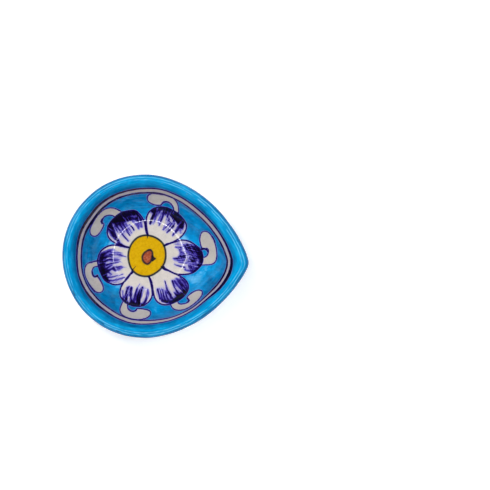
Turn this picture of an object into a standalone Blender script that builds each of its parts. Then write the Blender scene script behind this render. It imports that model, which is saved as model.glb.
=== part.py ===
"""Diya oil lamp: a small glazed clay oil lamp with a round bowl drawn out to a
pointed wick spout, a thick rolled lip and a turned foot.

It is built from the three clay members a potter makes separately and lutes
together: the pressed bowl, the coil laid on its edge as the lip, and the foot
ring under it.  Units are metres, +Z is up and +X points along the spout.  The
origin is the middle of the footprint's bounding box, on the surface that the
lamp stands on.
"""

import math

import bmesh
import bpy

# ---------------------------------------------------------------- dimensions
LENGTH = 0.0900              # back of the lip to the tip of the spout
SPOUT_GAIN = 0.305           # how far the spout stands out, as a share of the round radius
SPOUT_HALF_ANGLE = 80.0      # degrees each side of the spout where the outline leaves the circle
SPOUT_POWER = 2.5            # how the outline swells towards the spout
SPOUT_ROUNDING = 2.6         # degrees of rounding at the spout's corner

LIP_WIDTH = 0.0069           # outer edge to the seam inside the bowl
LIP_CREST_IN = 0.0033        # outer edge to the crest
LIP_CREST_Z = 0.0250         # height of the crest, the lamp's full height
LIP_EDGE_Z = 0.0223          # height of the widest line of the lip
LIP_FOOT_IN = 0.0020         # where the lip meets the outer wall, from the outer edge
LIP_FOOT_Z = 0.0184
LIP_SEAM_Z = 0.0205          # height of the seam inside the bowl
SEAT_Z = 0.0189              # flat bed that the lip coil sits on

FLOOR_Z = 0.0074             # top of the bowl's floor
FLOOR_RADIUS = 0.0140        # where the floor starts to rise
UNDERSIDE_Z = 0.0022         # underside of the floor, inside the foot
SHELL_CORNER_Z = 0.0036      # where the outer wall meets the foot
SHELL_CORNER_RADIUS = 0.0243

FOOT_OUTER_RADIUS = 0.0240   # at the bottom
FOOT_WAIST_RADIUS = 0.0234   # the turned hollow halfway up
FOOT_INNER_RADIUS = 0.0186
FOOT_EDGE = 0.0006           # small bevel at the standing edge

JOINT_GAP = 0.0003           # luting gap between the members
BOSS_RADIUS = FOOT_INNER_RADIUS - JOINT_GAP - 0.0001

SIDES = 80                   # points round each loop

# the round part's radius and its centre's place behind the middle of the length
TIP_RATIO = 1.0 + SPOUT_GAIN * (1.0 - SPOUT_ROUNDING / SPOUT_HALF_ANGLE) ** SPOUT_POWER
RADIUS = LENGTH / (1.0 + TIP_RATIO)
CENTRE_X = -0.5 * (TIP_RATIO - 1.0) * RADIUS

# radii, as shares of the round radius, where the spout is at its full width and where
# it has faded into a circle: on the bowl's inside, and on its outside above a round foot
INSIDE_FULL, INSIDE_GONE = 0.82, 0.40
OUTSIDE_FULL, OUTSIDE_GONE = 0.95, 0.62


# ------------------------------------------------------------------ outline
def spout_swell(angle):
    """How far the outline stands out of the circle at an angle from the spout."""
    degrees = (math.degrees(angle) + 180.0) % 360.0 - 180.0
    softened = math.hypot(degrees, SPOUT_ROUNDING)
    if softened >= SPOUT_HALF_ANGLE:
        return 0.0
    return SPOUT_GAIN * (1.0 - softened / SPOUT_HALF_ANGLE) ** SPOUT_POWER


def smooth(low, high, value):
    t = min(1.0, max(0.0, (value - low) / (high - low)))
    return t * t * (3.0 - 2.0 * t)


def loop_angles():
    """Angles round the lamp, closer together at the spout's corner."""
    angles = []
    for i in range(SIDES):
        t = 2.0 * math.pi * i / SIDES
        angles.append(t - 0.62 * math.sin(t))
    return angles


def inside_share(radius):
    return smooth(INSIDE_GONE, INSIDE_FULL, radius / RADIUS)


def outside_share(radius):
    return smooth(OUTSIDE_GONE, OUTSIDE_FULL, radius / RADIUS)


def loop_points(radius, z, share):
    """A closed loop at a radius of the round part, with a share of the spout."""
    points = []
    for angle in loop_angles():
        r = radius * (1.0 + share * spout_swell(angle))
        points.append((CENTRE_X + r * math.cos(angle), r * math.sin(angle), z))
    return points


# ----------------------------------------------------------------- profiles
def arc(centre, radii, start, end, steps):
    """Points on an ellipse's arc, in degrees from +radius towards +z."""
    out = []
    for i in range(steps + 1):
        a = math.radians(start + (end - start) * i / steps)
        out.append((centre[0] + radii[0] * math.cos(a), centre[1] + radii[1] * math.sin(a)))
    return out


def inner_wall(steps):
    """The bowl's inside, from the edge of the floor out to the lip's seam."""
    r0, z0 = FLOOR_RADIUS, FLOOR_Z
    r1, z1 = RADIUS - LIP_WIDTH, LIP_SEAM_Z
    out = []
    for i in range(steps + 1):
        t = i / steps
        r = r0 + (r1 - r0) * t
        rise = 0.62 * t ** 2 + 0.38 * t ** 1.15 if t else 0.0
        out.append((r, z0 + (z1 - z0) * rise))
    return out


def outer_wall(steps):
    """The bowl's outside, from the foot up to the lip."""
    r0, z0 = SHELL_CORNER_RADIUS, SHELL_CORNER_Z
    r1, z1 = RADIUS - LIP_FOOT_IN - 0.0003, LIP_FOOT_Z - 0.0004
    out = []
    for i in range(steps + 1):
        t = i / steps
        out.append((r0 + (r1 - r0) * math.sin(0.5 * math.pi * t) ** 0.92,
                    z0 + (z1 - z0) * t ** 1.12))
    return out


def bowl_profile():
    """From the axis under the floor, up the outside, over the seat and back to the axis."""
    seam_r = RADIUS - LIP_WIDTH
    boss = [
        (BOSS_RADIUS - 0.0008, UNDERSIDE_Z),
        (BOSS_RADIUS, UNDERSIDE_Z + 0.0008),
        (BOSS_RADIUS, SHELL_CORNER_Z),
    ]
    seat = [
        (RADIUS - LIP_FOOT_IN - 0.0011, SEAT_Z - JOINT_GAP),
        (seam_r + 0.0018, SEAT_Z - JOINT_GAP),
    ]
    inside = list(reversed(inner_wall(10)))
    inside[0] = (seam_r - JOINT_GAP, LIP_SEAM_Z - 0.0004)
    floor = [(FLOOR_RADIUS * 0.72, FLOOR_Z - 0.00015), (FLOOR_RADIUS * 0.30, FLOOR_Z - 0.00025)]
    outside = [(r, z, outside_share(r)) for r, z in boss + outer_wall(9)]
    return outside + [(r, z, inside_share(r)) for r, z in seat + inside + floor]


def lip_profile():
    """The coil's section, anticlockwise seen with the radius to the right."""
    edge_r = RADIUS
    crest_r = RADIUS - LIP_CREST_IN
    seam_r = RADIUS - LIP_WIDTH
    outer = arc((crest_r, LIP_EDGE_Z), (LIP_CREST_IN, LIP_CREST_Z - LIP_EDGE_Z), 0.0, 90.0, 6)
    under = arc((edge_r - LIP_FOOT_IN, LIP_EDGE_Z), (LIP_FOOT_IN, LIP_EDGE_Z - LIP_FOOT_Z), -90.0, 0.0, 4)
    inner = []
    steps = 5
    for i in range(1, steps + 1):
        t = i / steps
        r = crest_r + (seam_r - crest_r) * t
        fall = 0.45 * t ** 2 + 0.55 * t ** 1.6
        inner.append((r, LIP_CREST_Z + (LIP_SEAM_Z - LIP_CREST_Z) * fall))
    bed = [
        (seam_r + 0.0016, SEAT_Z),
        (edge_r - LIP_FOOT_IN - 0.0009, SEAT_Z),
    ]
    return [(r, z, 1.0) for r, z in under[:-1] + outer + inner + bed]


def foot_profile():
    """The foot ring's section, anticlockwise seen with the radius to the right."""
    top = SHELL_CORNER_Z - JOINT_GAP
    section = [
        (FOOT_INNER_RADIUS, top),
        (FOOT_INNER_RADIUS, FOOT_EDGE),
        (FOOT_INNER_RADIUS + FOOT_EDGE, 0.0),
        (FOOT_OUTER_RADIUS - FOOT_EDGE, 0.0),
        (FOOT_OUTER_RADIUS, FOOT_EDGE),
        (FOOT_WAIST_RADIUS, 0.5 * top),
        (SHELL_CORNER_RADIUS - 0.0003, top - 0.0004),
        (SHELL_CORNER_RADIUS - 0.0007, top),
    ]
    return [(r, z, 0.0) for r, z in section]


# ------------------------------------------------------------------- meshes
def turned(name, profile, closed, material):
    """A body lofted through one loop per profile point; open profiles are capped flat."""
    mesh = bmesh.new()
    loops = [[mesh.verts.new(p) for p in loop_points(*station)] for station in profile]
    pairs = list(zip(loops, loops[1:]))
    if closed:
        pairs.append((loops[-1], loops[0]))
    for first, second in pairs:
        for i in range(SIDES):
            j = (i + 1) % SIDES
            mesh.faces.new((first[i], first[j], second[j], second[i]))
    if not closed:
        mesh.faces.new(loops[0][::-1])
        mesh.faces.new(loops[-1])
    bmesh.ops.recalc_face_normals(mesh, faces=mesh.faces)
    data = bpy.data.meshes.new(name)
    mesh.to_mesh(data)
    mesh.free()
    data.materials.append(material)
    data.shade_smooth()
    data.set_sharp_from_angle(angle=math.radians(38.0))
    obj = bpy.data.objects.new(name, data)
    bpy.context.scene.collection.objects.link(obj)
    return obj


def clay(name, colour, roughness):
    material = bpy.data.materials.new(name)
    material.use_nodes = True
    shader = material.node_tree.nodes["Principled BSDF"]
    shader.inputs["Base Color"].default_value = (*colour, 1.0)
    shader.inputs["Roughness"].default_value = roughness
    shader.inputs["Metallic"].default_value = 0.0
    return material


def main():
    for obj in list(bpy.data.objects):
        bpy.data.objects.remove(obj, do_unlink=True)
    bpy.context.scene.unit_settings.scale_length = 1.0

    assembly = bpy.data.objects.new("diya_oil_lamp", None)
    bpy.context.scene.collection.objects.link(assembly)

    members = [
        turned("bowl_shell", bowl_profile(), False, clay("painted_glaze", (0.030, 0.260, 0.540), 0.16)),
        turned("rim_lip", lip_profile(), True, clay("turquoise_glaze", (0.012, 0.330, 0.700), 0.12)),
        turned("foot_ring", foot_profile(), True, clay("bare_body", (0.620, 0.560, 0.470), 0.72)),
    ]
    for member in members:
        member.parent = assembly


main()
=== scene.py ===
import math

import bpy
import numpy as np
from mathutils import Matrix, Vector


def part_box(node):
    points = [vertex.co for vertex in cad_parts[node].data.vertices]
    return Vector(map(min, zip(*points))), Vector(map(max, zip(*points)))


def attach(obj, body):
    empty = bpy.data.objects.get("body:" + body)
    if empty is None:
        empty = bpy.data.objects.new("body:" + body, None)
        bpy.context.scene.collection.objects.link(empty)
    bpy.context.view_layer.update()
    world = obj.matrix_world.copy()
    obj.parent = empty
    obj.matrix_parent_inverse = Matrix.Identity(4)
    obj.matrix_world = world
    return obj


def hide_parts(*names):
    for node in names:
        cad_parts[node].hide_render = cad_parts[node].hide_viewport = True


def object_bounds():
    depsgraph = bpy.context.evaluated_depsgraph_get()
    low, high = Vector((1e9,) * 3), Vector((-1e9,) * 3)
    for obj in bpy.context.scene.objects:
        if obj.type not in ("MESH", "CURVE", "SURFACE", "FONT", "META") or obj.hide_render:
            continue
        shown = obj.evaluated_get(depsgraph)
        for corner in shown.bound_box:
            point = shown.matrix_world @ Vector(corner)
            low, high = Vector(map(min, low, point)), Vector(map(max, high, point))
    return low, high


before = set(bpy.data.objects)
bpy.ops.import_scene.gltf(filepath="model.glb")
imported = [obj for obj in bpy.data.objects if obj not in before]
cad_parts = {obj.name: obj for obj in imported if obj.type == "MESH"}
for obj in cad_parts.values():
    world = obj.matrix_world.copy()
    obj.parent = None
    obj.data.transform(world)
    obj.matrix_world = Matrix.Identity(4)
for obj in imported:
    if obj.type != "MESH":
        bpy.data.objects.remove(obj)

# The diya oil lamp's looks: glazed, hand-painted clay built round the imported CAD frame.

CAD_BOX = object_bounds()
LOW, HIGH = np.array(CAD_BOX[0]), np.array(CAD_BOX[1])

# ------------------------------------------------------------------ the shape
# Sizes come from the CAD box and follow the CAD's own rules for the outline.
LENGTH = float(HIGH[0] - LOW[0])
TOP = float(HIGH[2])
SPOUT_GAIN, SPOUT_HALF_ANGLE, SPOUT_POWER, SPOUT_ROUNDING = 0.305, 80.0, 2.5, 2.6
TIP_RATIO = 1.0 + SPOUT_GAIN * (1.0 - SPOUT_ROUNDING / SPOUT_HALF_ANGLE) ** SPOUT_POWER
RADIUS = LENGTH / (1.0 + TIP_RATIO)
CENTRE_X = float(LOW[0]) + RADIUS
UNIT = RADIUS / 81.8                      # one unit of the drawing

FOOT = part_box("foot_ring")
FOOT_TOP = float(FOOT[1][2])
FLOOR_Z, FLOOR_RADIUS = 0.0074, 0.0140
SEAM_R, SEAM_Z = 68.2 * UNIT, 0.0216      # where the lip's coil meets the bowl, inside
CREST_IN, EDGE_Z = 6.0 * UNIT, 0.0219     # outer edge to the crest, and the widest line's height
LIP_FOOT_IN, LIP_FOOT_Z = 0.0020, 0.0184
CORNER_R, CORNER_Z = 0.0243, 0.0036

ANGLES = 560                              # points round the lamp
VIEW_HEIGHT = 0.6566                      # the camera stands this far above the lip's widest line
VIEW_X, VIEW_Y = CENTRE_X + 99.8 * UNIT, 18.1 * UNIT


def ramp01(low, high, v):
    t = np.clip((np.asarray(v, float) - low) / (high - low), 0.0, 1.0)
    return t * t * (3.0 - 2.0 * t)


def swell(angle):
    d = np.degrees(np.asarray(angle))
    d = (d + 180.0) % 360.0 - 180.0
    return SPOUT_GAIN * np.clip(1.0 - np.hypot(d, SPOUT_ROUNDING) / SPOUT_HALF_ANGLE, 0.0, 1.0) ** SPOUT_POWER


T = 2.0 * np.pi * np.arange(ANGLES) / ANGLES
THETA = T - 0.36 * np.sin(T)


def soft_noise(x, y, z, wave, seed):
    """Smooth seeded unevenness from a few plane waves; about -1 to 1."""
    rng = np.random.default_rng(seed)
    total = 0.0
    for _ in range(9):
        k = rng.normal(size=3)
        k *= 2.0 * math.pi / (wave * np.linalg.norm(k) * rng.uniform(0.7, 1.5))
        total = total + np.sin(k[0] * x + k[1] * y + k[2] * z + rng.uniform(0, 6.28))
    return total / 3.2


def station(radius, z, share):
    """One loop of points: (radius of the round part, height, share of the spout)."""
    r = radius * (1.0 + share * swell(THETA))
    return np.stack([CENTRE_X + r * np.cos(THETA), r * np.sin(THETA), np.full(ANGLES, z)], 1)


def inside_share(r):
    return ramp01(0.40, 0.82, r / RADIUS)


def outside_share(r):
    return ramp01(0.62, 0.95, r / RADIUS)


def inner_z(r):
    """Height of the bowl's inside: a flat floor running up into a steepening wall."""
    rise = (SEAM_Z - FLOOR_Z) / (SEAM_R - FLOOR_RADIUS) ** 2
    r = np.asarray(r, float)
    floor = FLOOR_Z - 0.00022 * (1.0 - np.clip(r / FLOOR_RADIUS, 0, 1) ** 2) ** 1.5
    return floor + rise * np.clip(r - FLOOR_RADIUS, 0.0, None) ** 2


def lip_inner(steps):
    """The lip's inside, from the seam up to the crest, leaving the wall at its own slope."""
    r0, z0 = SEAM_R, SEAM_Z
    r1, z1 = RADIUS - CREST_IN, TOP
    slope0 = 2.0 * (SEAM_Z - FLOOR_Z) / (SEAM_R - FLOOR_RADIUS)
    t = np.linspace(0, 1, steps + 1)[1:]
    w = r1 - r0
    h00, h10 = 2 * t ** 3 - 3 * t ** 2 + 1, t ** 3 - 2 * t ** 2 + t
    h01 = -2 * t ** 3 + 3 * t ** 2
    # a cubic from the wall's slope to level at the crest
    return [(r0 + w * a, h00_ * z0 + h10_ * w * slope0 + h01_ * z1)
            for a, h00_, h10_, h01_ in zip(t, h00, h10, h01)]


def lip_outer(steps):
    c = (RADIUS - CREST_IN, EDGE_Z)
    out = []
    for i in range(1, steps + 1):
        a = math.radians(90.0 - 90.0 * i / steps)
        out.append((c[0] + CREST_IN * math.cos(a) ** 0.94, c[1] + (TOP - EDGE_Z) * math.sin(a) ** 0.98))
    return out


def lip_under(steps):
    c = (RADIUS - LIP_FOOT_IN, EDGE_Z)
    out = []
    for i in range(1, steps + 1):
        a = math.radians(-90.0 * i / steps)
        out.append((c[0] + LIP_FOOT_IN * math.cos(a), c[1] + (EDGE_Z - LIP_FOOT_Z) * math.sin(a)))
    return out


def outer_wall(steps):
    r0, z0 = RADIUS - LIP_FOOT_IN, LIP_FOOT_Z
    r1, z1 = CORNER_R, CORNER_Z
    out = []
    for i in range(1, steps + 1):
        t = 1.0 - i / steps
        out.append((r1 + (r0 - r1) * math.sin(0.5 * math.pi * t) ** 0.92, z1 + (z0 - z1) * t ** 1.12))
    return out


# The outside skin as one run of stations, from the floor's middle, up over the lip and
# down to the foot; the members are cut from it, so their surfaces meet without a step.
inner_r = np.concatenate([np.linspace(0.0, 0.0080, 22)[1:], np.linspace(0.0080, SEAM_R, 118)[1:]])
SKIN = [(r, float(inner_z(r)), float(inside_share(r))) for r in inner_r]
N_BOWL_IN = len(SKIN)
SKIN += [(r, z, 1.0) for r, z in lip_inner(20) + lip_outer(22) + lip_under(12)]
N_LIP = len(SKIN)
SKIN += [(r, z, float(outside_share(r)) if r < 0.93 * RADIUS else 1.0 - 4.0 * (0.95 - min(0.95, r / RADIUS)) ** 2)
         for r, z in outer_wall(24)]
N_ALL = len(SKIN)


def skin_points():
    loops = np.array([station(*s) for s in SKIN])                      # stations x angles x 3
    x, y, z = loops[..., 0], loops[..., 1], loops[..., 2]
    radial = np.hypot(x - CENTRE_X, y)
    away = ramp01(0.010, 0.030, radial)
    # the maker's hand: slow waves in height and in width, strongest on the lip
    loops[..., 2] += away * 0.00009 * soft_noise(x, y, z * 0, 0.030, 3) * ramp01(0.004, 0.009, z)
    push = away * (0.00006 * soft_noise(x, y, z, 0.024, 5) + 0.00003 * soft_noise(x, y, z, 0.009, 8))
    loops[..., 0] += push * (x - CENTRE_X) / np.maximum(radial, 1e-6)
    loops[..., 1] += push * y / np.maximum(radial, 1e-6)
    return loops


def grid_normals(loops):
    """Normals of the skin from its own grid, pointing out of the clay."""
    around = np.roll(loops, -1, axis=1) - np.roll(loops, 1, axis=1)
    along = np.gradient(loops, axis=0)
    n = np.cross(around, along)
    n /= np.linalg.norm(n, axis=2, keepdims=True) + 1e-12
    return -n


def build(name, stations, pole_top=None, pole_bottom=None):
    """A closed member lofted through loops.  Each station is (points, normals or None); a band
    between two stations that have normals is skin and takes them, any other is shaded flat."""
    count = len(stations)
    verts = np.concatenate([p for p, _ in stations])
    table = np.concatenate([n if n is not None else np.zeros((ANGLES, 3)) for _, n in stations])
    has = [n is not None for _, n in stations]
    i = np.arange(ANGLES)
    j = np.roll(i, -1)
    quads, seen = [], []
    pairs = [(s, s + 1) for s in range(count - 1)]
    if pole_top is None:
        pairs.append((count - 1, 0))
    for a, b in pairs:
        quads.append(np.stack([a * ANGLES + i, b * ANGLES + i, b * ANGLES + j, a * ANGLES + j], 1))
        seen += [has[a] and has[b] and b == a + 1] * ANGLES
    quads = np.concatenate(quads)
    tris = np.zeros((0, 3), int)
    if pole_top is not None:
        top, bottom = len(verts), len(verts) + 1
        verts = np.concatenate([verts, [pole_top, pole_bottom]])
        table = np.concatenate([table, [(0, 0, 1), (0, 0, -1)]])
        last = (count - 1) * ANGLES
        tris = np.concatenate([np.stack([np.full(ANGLES, top), i, j], 1),
                               np.stack([np.full(ANGLES, bottom), last + j, last + i], 1)])
        seen += [True] * ANGLES + [False] * ANGLES
    every = np.concatenate([quads[:, [0, 1, 2]], quads[:, [0, 2, 3]], tris])
    volume = np.einsum("ij,ij->i", verts[every[:, 0]], np.cross(verts[every[:, 1]], verts[every[:, 2]])).sum()
    if volume < 0:
        quads, tris = quads[:, ::-1], tris[:, ::-1]
    data = bpy.data.meshes.new(name)
    data.from_pydata(verts.tolist(), [], quads.tolist() + tris.tolist())
    data.update()
    data.shade_smooth()
    corner_v = np.empty(len(data.loops), np.int32)
    data.loops.foreach_get("vertex_index", corner_v)
    totals = np.empty(len(data.polygons), np.int32)
    data.polygons.foreach_get("loop_total", totals)
    face_n = np.empty(len(data.polygons) * 3, np.float32)
    data.polygons.foreach_get("normal", face_n)
    owner = np.repeat(np.arange(len(data.polygons)), totals)
    corners = np.where(np.array(seen)[owner][:, None], table[corner_v], face_n.reshape(-1, 3)[owner])
    data.normals_split_custom_set(corners.tolist())
    obj = bpy.data.objects.new(name, data)
    bpy.context.scene.collection.objects.link(obj)
    return obj


# ---------------------------------------------------------------- the drawing
# Everything in the drawing is laid out in plan, in units of 1/81.8 of the round
# radius, with +x towards the spout, from the centre of the round part.

DISC = [(21, 1), (20.4, 7), (18.6, 12.4), (15, 16.6), (10, 19.6), (4, 21.3), (-2, 21.2), (-8, 18.8), (-12.6, 14),
        (-15.4, 8), (-16.4, 1), (-15.6, -5), (-13.6, -10.6), (-10.3, -15.2), (-5.5, -18.3), (0.5, -19.5),
        (6.5, -18.7), (12, -15.6), (16.8, -11), (20, -5.2)]
DOT = [(7.7, 0.5), (7.6, 4.2), (5.8, 7.0), (2.6, 6.4), (-0.6, 3.8), (-2.2, 0.2), (-1.6, -3.6), (0.8, -6.3),
       (4.0, -6.9), (6.6, -4.2)]
PETALS = {
    "r": [(19, 12.6), (25, 15.3), (30, 17.1), (35, 18.9), (40, 19.2), (45, 17.8), (50, 15), (54, 12), (57, 8),
          (58.2, 3), (57.8, -2), (55.6, -6.5), (52, -10.5), (48, -13.1), (43, -14.6), (38, -15.2), (33, -15),
          (29, -14), (25, -12.3), (19, -10.2), (12, 0)],
    "ur": [(1.2, 22.5), (0, 25), (-0.9, 28.5), (-1.3, 32.5), (-1.2, 36.5), (-0.6, 40), (0.9, 44), (3.6, 47.2),
           (7, 49.4), (11, 50.6), (15, 50.8), (19.5, 50.2), (24, 48.6), (29, 46.2), (33.2, 43), (36.7, 39.4),
           (39.1, 35.6), (39.7, 32), (38.8, 28.2), (36.6, 24.4), (33, 20.6), (28.6, 17.4), (24, 15), (18.6, 12.4),
           (8, 12)],
    "ul": [(-16, 8), (-20, 8.5), (-24, 9.1), (-27.6, 10.4), (-31, 12), (-34.4, 13.9), (-37.2, 16.9), (-38.7, 20.4),
           (-39, 24.2), (-38.4, 28.2), (-36.4, 32.2), (-33, 36.5), (-29.5, 40), (-25.8, 42.8), (-21.5, 44.1),
           (-16.5, 45.2), (-12.4, 45.2), (-9, 43), (-5.6, 39.5), (-3.2, 35.8), (-1.7, 31.5), (-0.8, 27), (0.3, 23.8),
           (1.5, 21), (-6, 10)],
    "l": [(-10.5, -15.2), (-13, -18.7), (-15, -22), (-17.5, -25.5), (-20.5, -28), (-24, -29.5), (-28, -30), (-32, -29.1),
          (-36, -27.4), (-39, -25.4), (-41.3, -21.8), (-43.7, -17), (-45.6, -12), (-46.5, -7), (-46.1, -3),
          (-44.8, 1), (-42.4, 4.3), (-39, 7), (-35, 8.8), (-31, 9.5), (-27, 9.3), (-22, 8.6), (-16, 8), (-8, 0)],
    "b": [(5, -18.6), (7.5, -23.8), (9.3, -28), (10.2, -32), (10.4, -36), (9.8, -40), (8, -43.8), (5, -46.8),
          (1.5, -49), (-3, -50), (-8, -49.8), (-13, -48.4), (-17, -46.2), (-20.2, -43), (-21.9, -39.3), (-22, -35),
          (-21, -31), (-19, -27), (-16.5, -22.8), (-13.6, -18.8), (-10.4, -15), (-2, -8)],
    "lr": [(17, -9.6), (21, -10.8), (25, -12.4), (30, -14.4), (34, -15.9), (38, -17.5), (42, -20), (44.8, -23.5),
           (45.8, -27.2), (45.1, -31.5), (43, -35.4), (40, -38.6), (36, -41.6), (31, -44.4), (26, -46.2),
           (21.3, -46.5), (17.2, -45), (14, -42), (12, -38), (11, -34), (10.2, -30), (9, -25.6), (7.4, -21.8),
           (4.8, -18), (9, -8)],
}
HOOKS = {
    "top": [(30.6, 46), (30.5, 50.5), (29.4, 54.6), (27, 58.2), (23.8, 60.7), (20, 62.2), (15, 63), (10, 63.4),
            (6, 63.7), (2, 63.2), (-0.9, 61.4), (-1.6, 58.8), (-0.7, 56.2), (2, 53.9), (6, 52.5), (10, 52.3),
            (12.8, 53), (13.9, 54.7), (15.6, 56.3), (18.6, 56.5), (21.8, 55.4), (24.3, 52.8), (25.6, 49.6), (26, 45)],
    "ul": [(-26.5, 42.8), (-30, 45), (-34, 46.3), (-38, 46.3), (-41.5, 45.4), (-45.2, 43), (-48.3, 39.8),
           (-50.9, 36.2), (-53.2, 32), (-55.2, 27.4), (-56.4, 23), (-56, 19.6), (-54, 17.4), (-51.2, 16.9),
           (-48.4, 18.2), (-45.9, 21.6), (-43.8, 25.8), (-42.9, 29.2), (-43.8, 30.9), (-45.6, 31.1), (-45.9, 32.8),
           (-44.5, 35.2), (-42, 37.6), (-38.6, 38.9), (-34.8, 38.7), (-30, 37)],
    "l": [(-45, -7.4), (-49.5, -8.1), (-53.5, -9.4), (-57, -11.4), (-58.6, -14.8), (-58.9, -19), (-57.6, -24),
          (-55.2, -28.5), (-52.2, -32.5), (-49.2, -35.9), (-46.5, -38.2), (-43, -39), (-39.9, -37.6), (-38.9, -34.6),
          (-39.9, -31), (-42, -27), (-44.4, -23.7), (-46.4, -22.7), (-48.6, -23.5), (-50.4, -22.3), (-51.4, -19),
          (-51, -16), (-49.4, -13.8), (-45.6, -12.2)],
    "b": [(-17.8, -45.5), (-20.2, -50.8), (-20.9, -55), (-19.2, -58.6), (-15.2, -61.3), (-10, -62.7), (-5, -63.2),
          (0.2, -63), (5, -61.7), (8.8, -59), (10, -56), (8.6, -53.6), (5, -52.5), (0, -52.1), (-4, -52.4),
          (-5.2, -54), (-7, -55.4), (-10, -55.2), (-12.6, -53.4), (-13.6, -50.8), (-14, -47)],
    "lr": [(29.4, -44.6), (30.9, -48.6), (34, -50.6), (39, -51), (44, -49.5), (49, -46.5), (54, -42.2), (58, -37.6),
           (60.1, -33.4), (59.3, -30.1), (56, -29.5), (52.3, -30.9), (48.8, -33.4), (45.8, -36.4), (45.3, -38.7),
           (47.3, -40), (47.1, -41.7), (44.4, -43.5), (40, -44.6), (37.2, -44), (35, -41)],
    "r": [(56.5, -3.8), (62, -3.8), (66, -3.3), (69.7, -1.6), (71.5, 1.5), (72, 6), (71.4, 11), (70.1, 16),
          (68.1, 21), (65.6, 25), (62.8, 28.2), (59.5, 29.6), (56, 28.8), (54.2, 25.5), (53.9, 21), (54.9, 16.4),
          (56.3, 12.9), (58.6, 11.7), (61.2, 12.7), (62.9, 11.4), (63.2, 8.4), (62, 5.3), (60, 3.8), (56, 3.2)],
}
RING = [(84.8, 0), (84.4, 3.5), (83.2, 7), (81.3, 11.5), (78.2, 17.6), (74.2, 23.8), (70, 29.3), (65, 35.1),
        (60, 40), (55, 44.4), (50, 48.3), (45, 51.9), (40, 55.2), (36, 57.6), (32, 59.6), (28, 61.3), (25, 62.5),
        (20, 64.2), (15, 65.6), (10, 66.4), (5, 66.7), (0, 66.4), (-5, 65.9), (-10, 65.3), (-20, 62.9), (-30, 59.1),
        (-37, 55.1), (-40.5, 52.7), (-45, 48.7), (-48.5, 45.1), (-52, 40.5), (-55.3, 35.2), (-58.3, 30.2),
        (-60.8, 25.3), (-63, 19.6), (-64.7, 12), (-65.4, 5), (-65.4, -2), (-64.9, -9), (-63.9, -16), (-62.1, -22.8),
        (-59.3, -29.2), (-56, -34.8), (-53, -38.8), (-49.8, -42.3), (-45, -46.9), (-40, -51), (-35, -54.4),
        (-30, -57.4), (-25, -60.1), (-20, -62.2), (-15, -63.8), (-10, -65), (-5, -65.5), (0, -65.7), (5, -65.4),
        (10, -64.9), (15, -64.2), (20, -63.2), (25, -62), (30, -60.4), (35, -58.3), (40, -55.9), (45, -53),
        (50, -49.8), (55, -45.8), (60, -41.1), (65, -36), (70, -30.8), (75, -25), (79, -19), (81.6, -14),
        (83.5, -9), (84.6, -4.2)]
# (angle in degrees, half-width of the pale band, width of the inner line, width of the outer line)
RING_WIDTHS = [(-20, 1.05, 1.5, 2.3), (-8, 1.1, 1.5, 3.0), (4, 1.3, 1.5, 2.2), (20, 1.45, 1.4, 1.4), (50, 1.5, 1.3, 1.3),
               (70, 1.5, 1.2, 1.1), (90, 1.45, 1.5, 1.2), (110, 1.35, 1.5, 1.5), (130, 1.3, 1.7, 2.0),
               (150, 1.2, 2.3, 2.4), (165, 1.35, 1.7, 2.2), (180, 1.55, 1.2, 1.5), (200, 1.5, 1.2, 1.5),
               (214, 1.4, 1.2, 1.8), (227, 1.3, 1.3, 2.3), (240, 1.4, 1.2, 1.6), (255, 1.4, 1.1, 1.1), (275, 1.3, 1.1, 0.9), (300, 0.85, 1.0, 0.9),
               (318, 0.7, 1.1, 1.0), (332, 0.8, 1.2, 1.5)]

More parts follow.
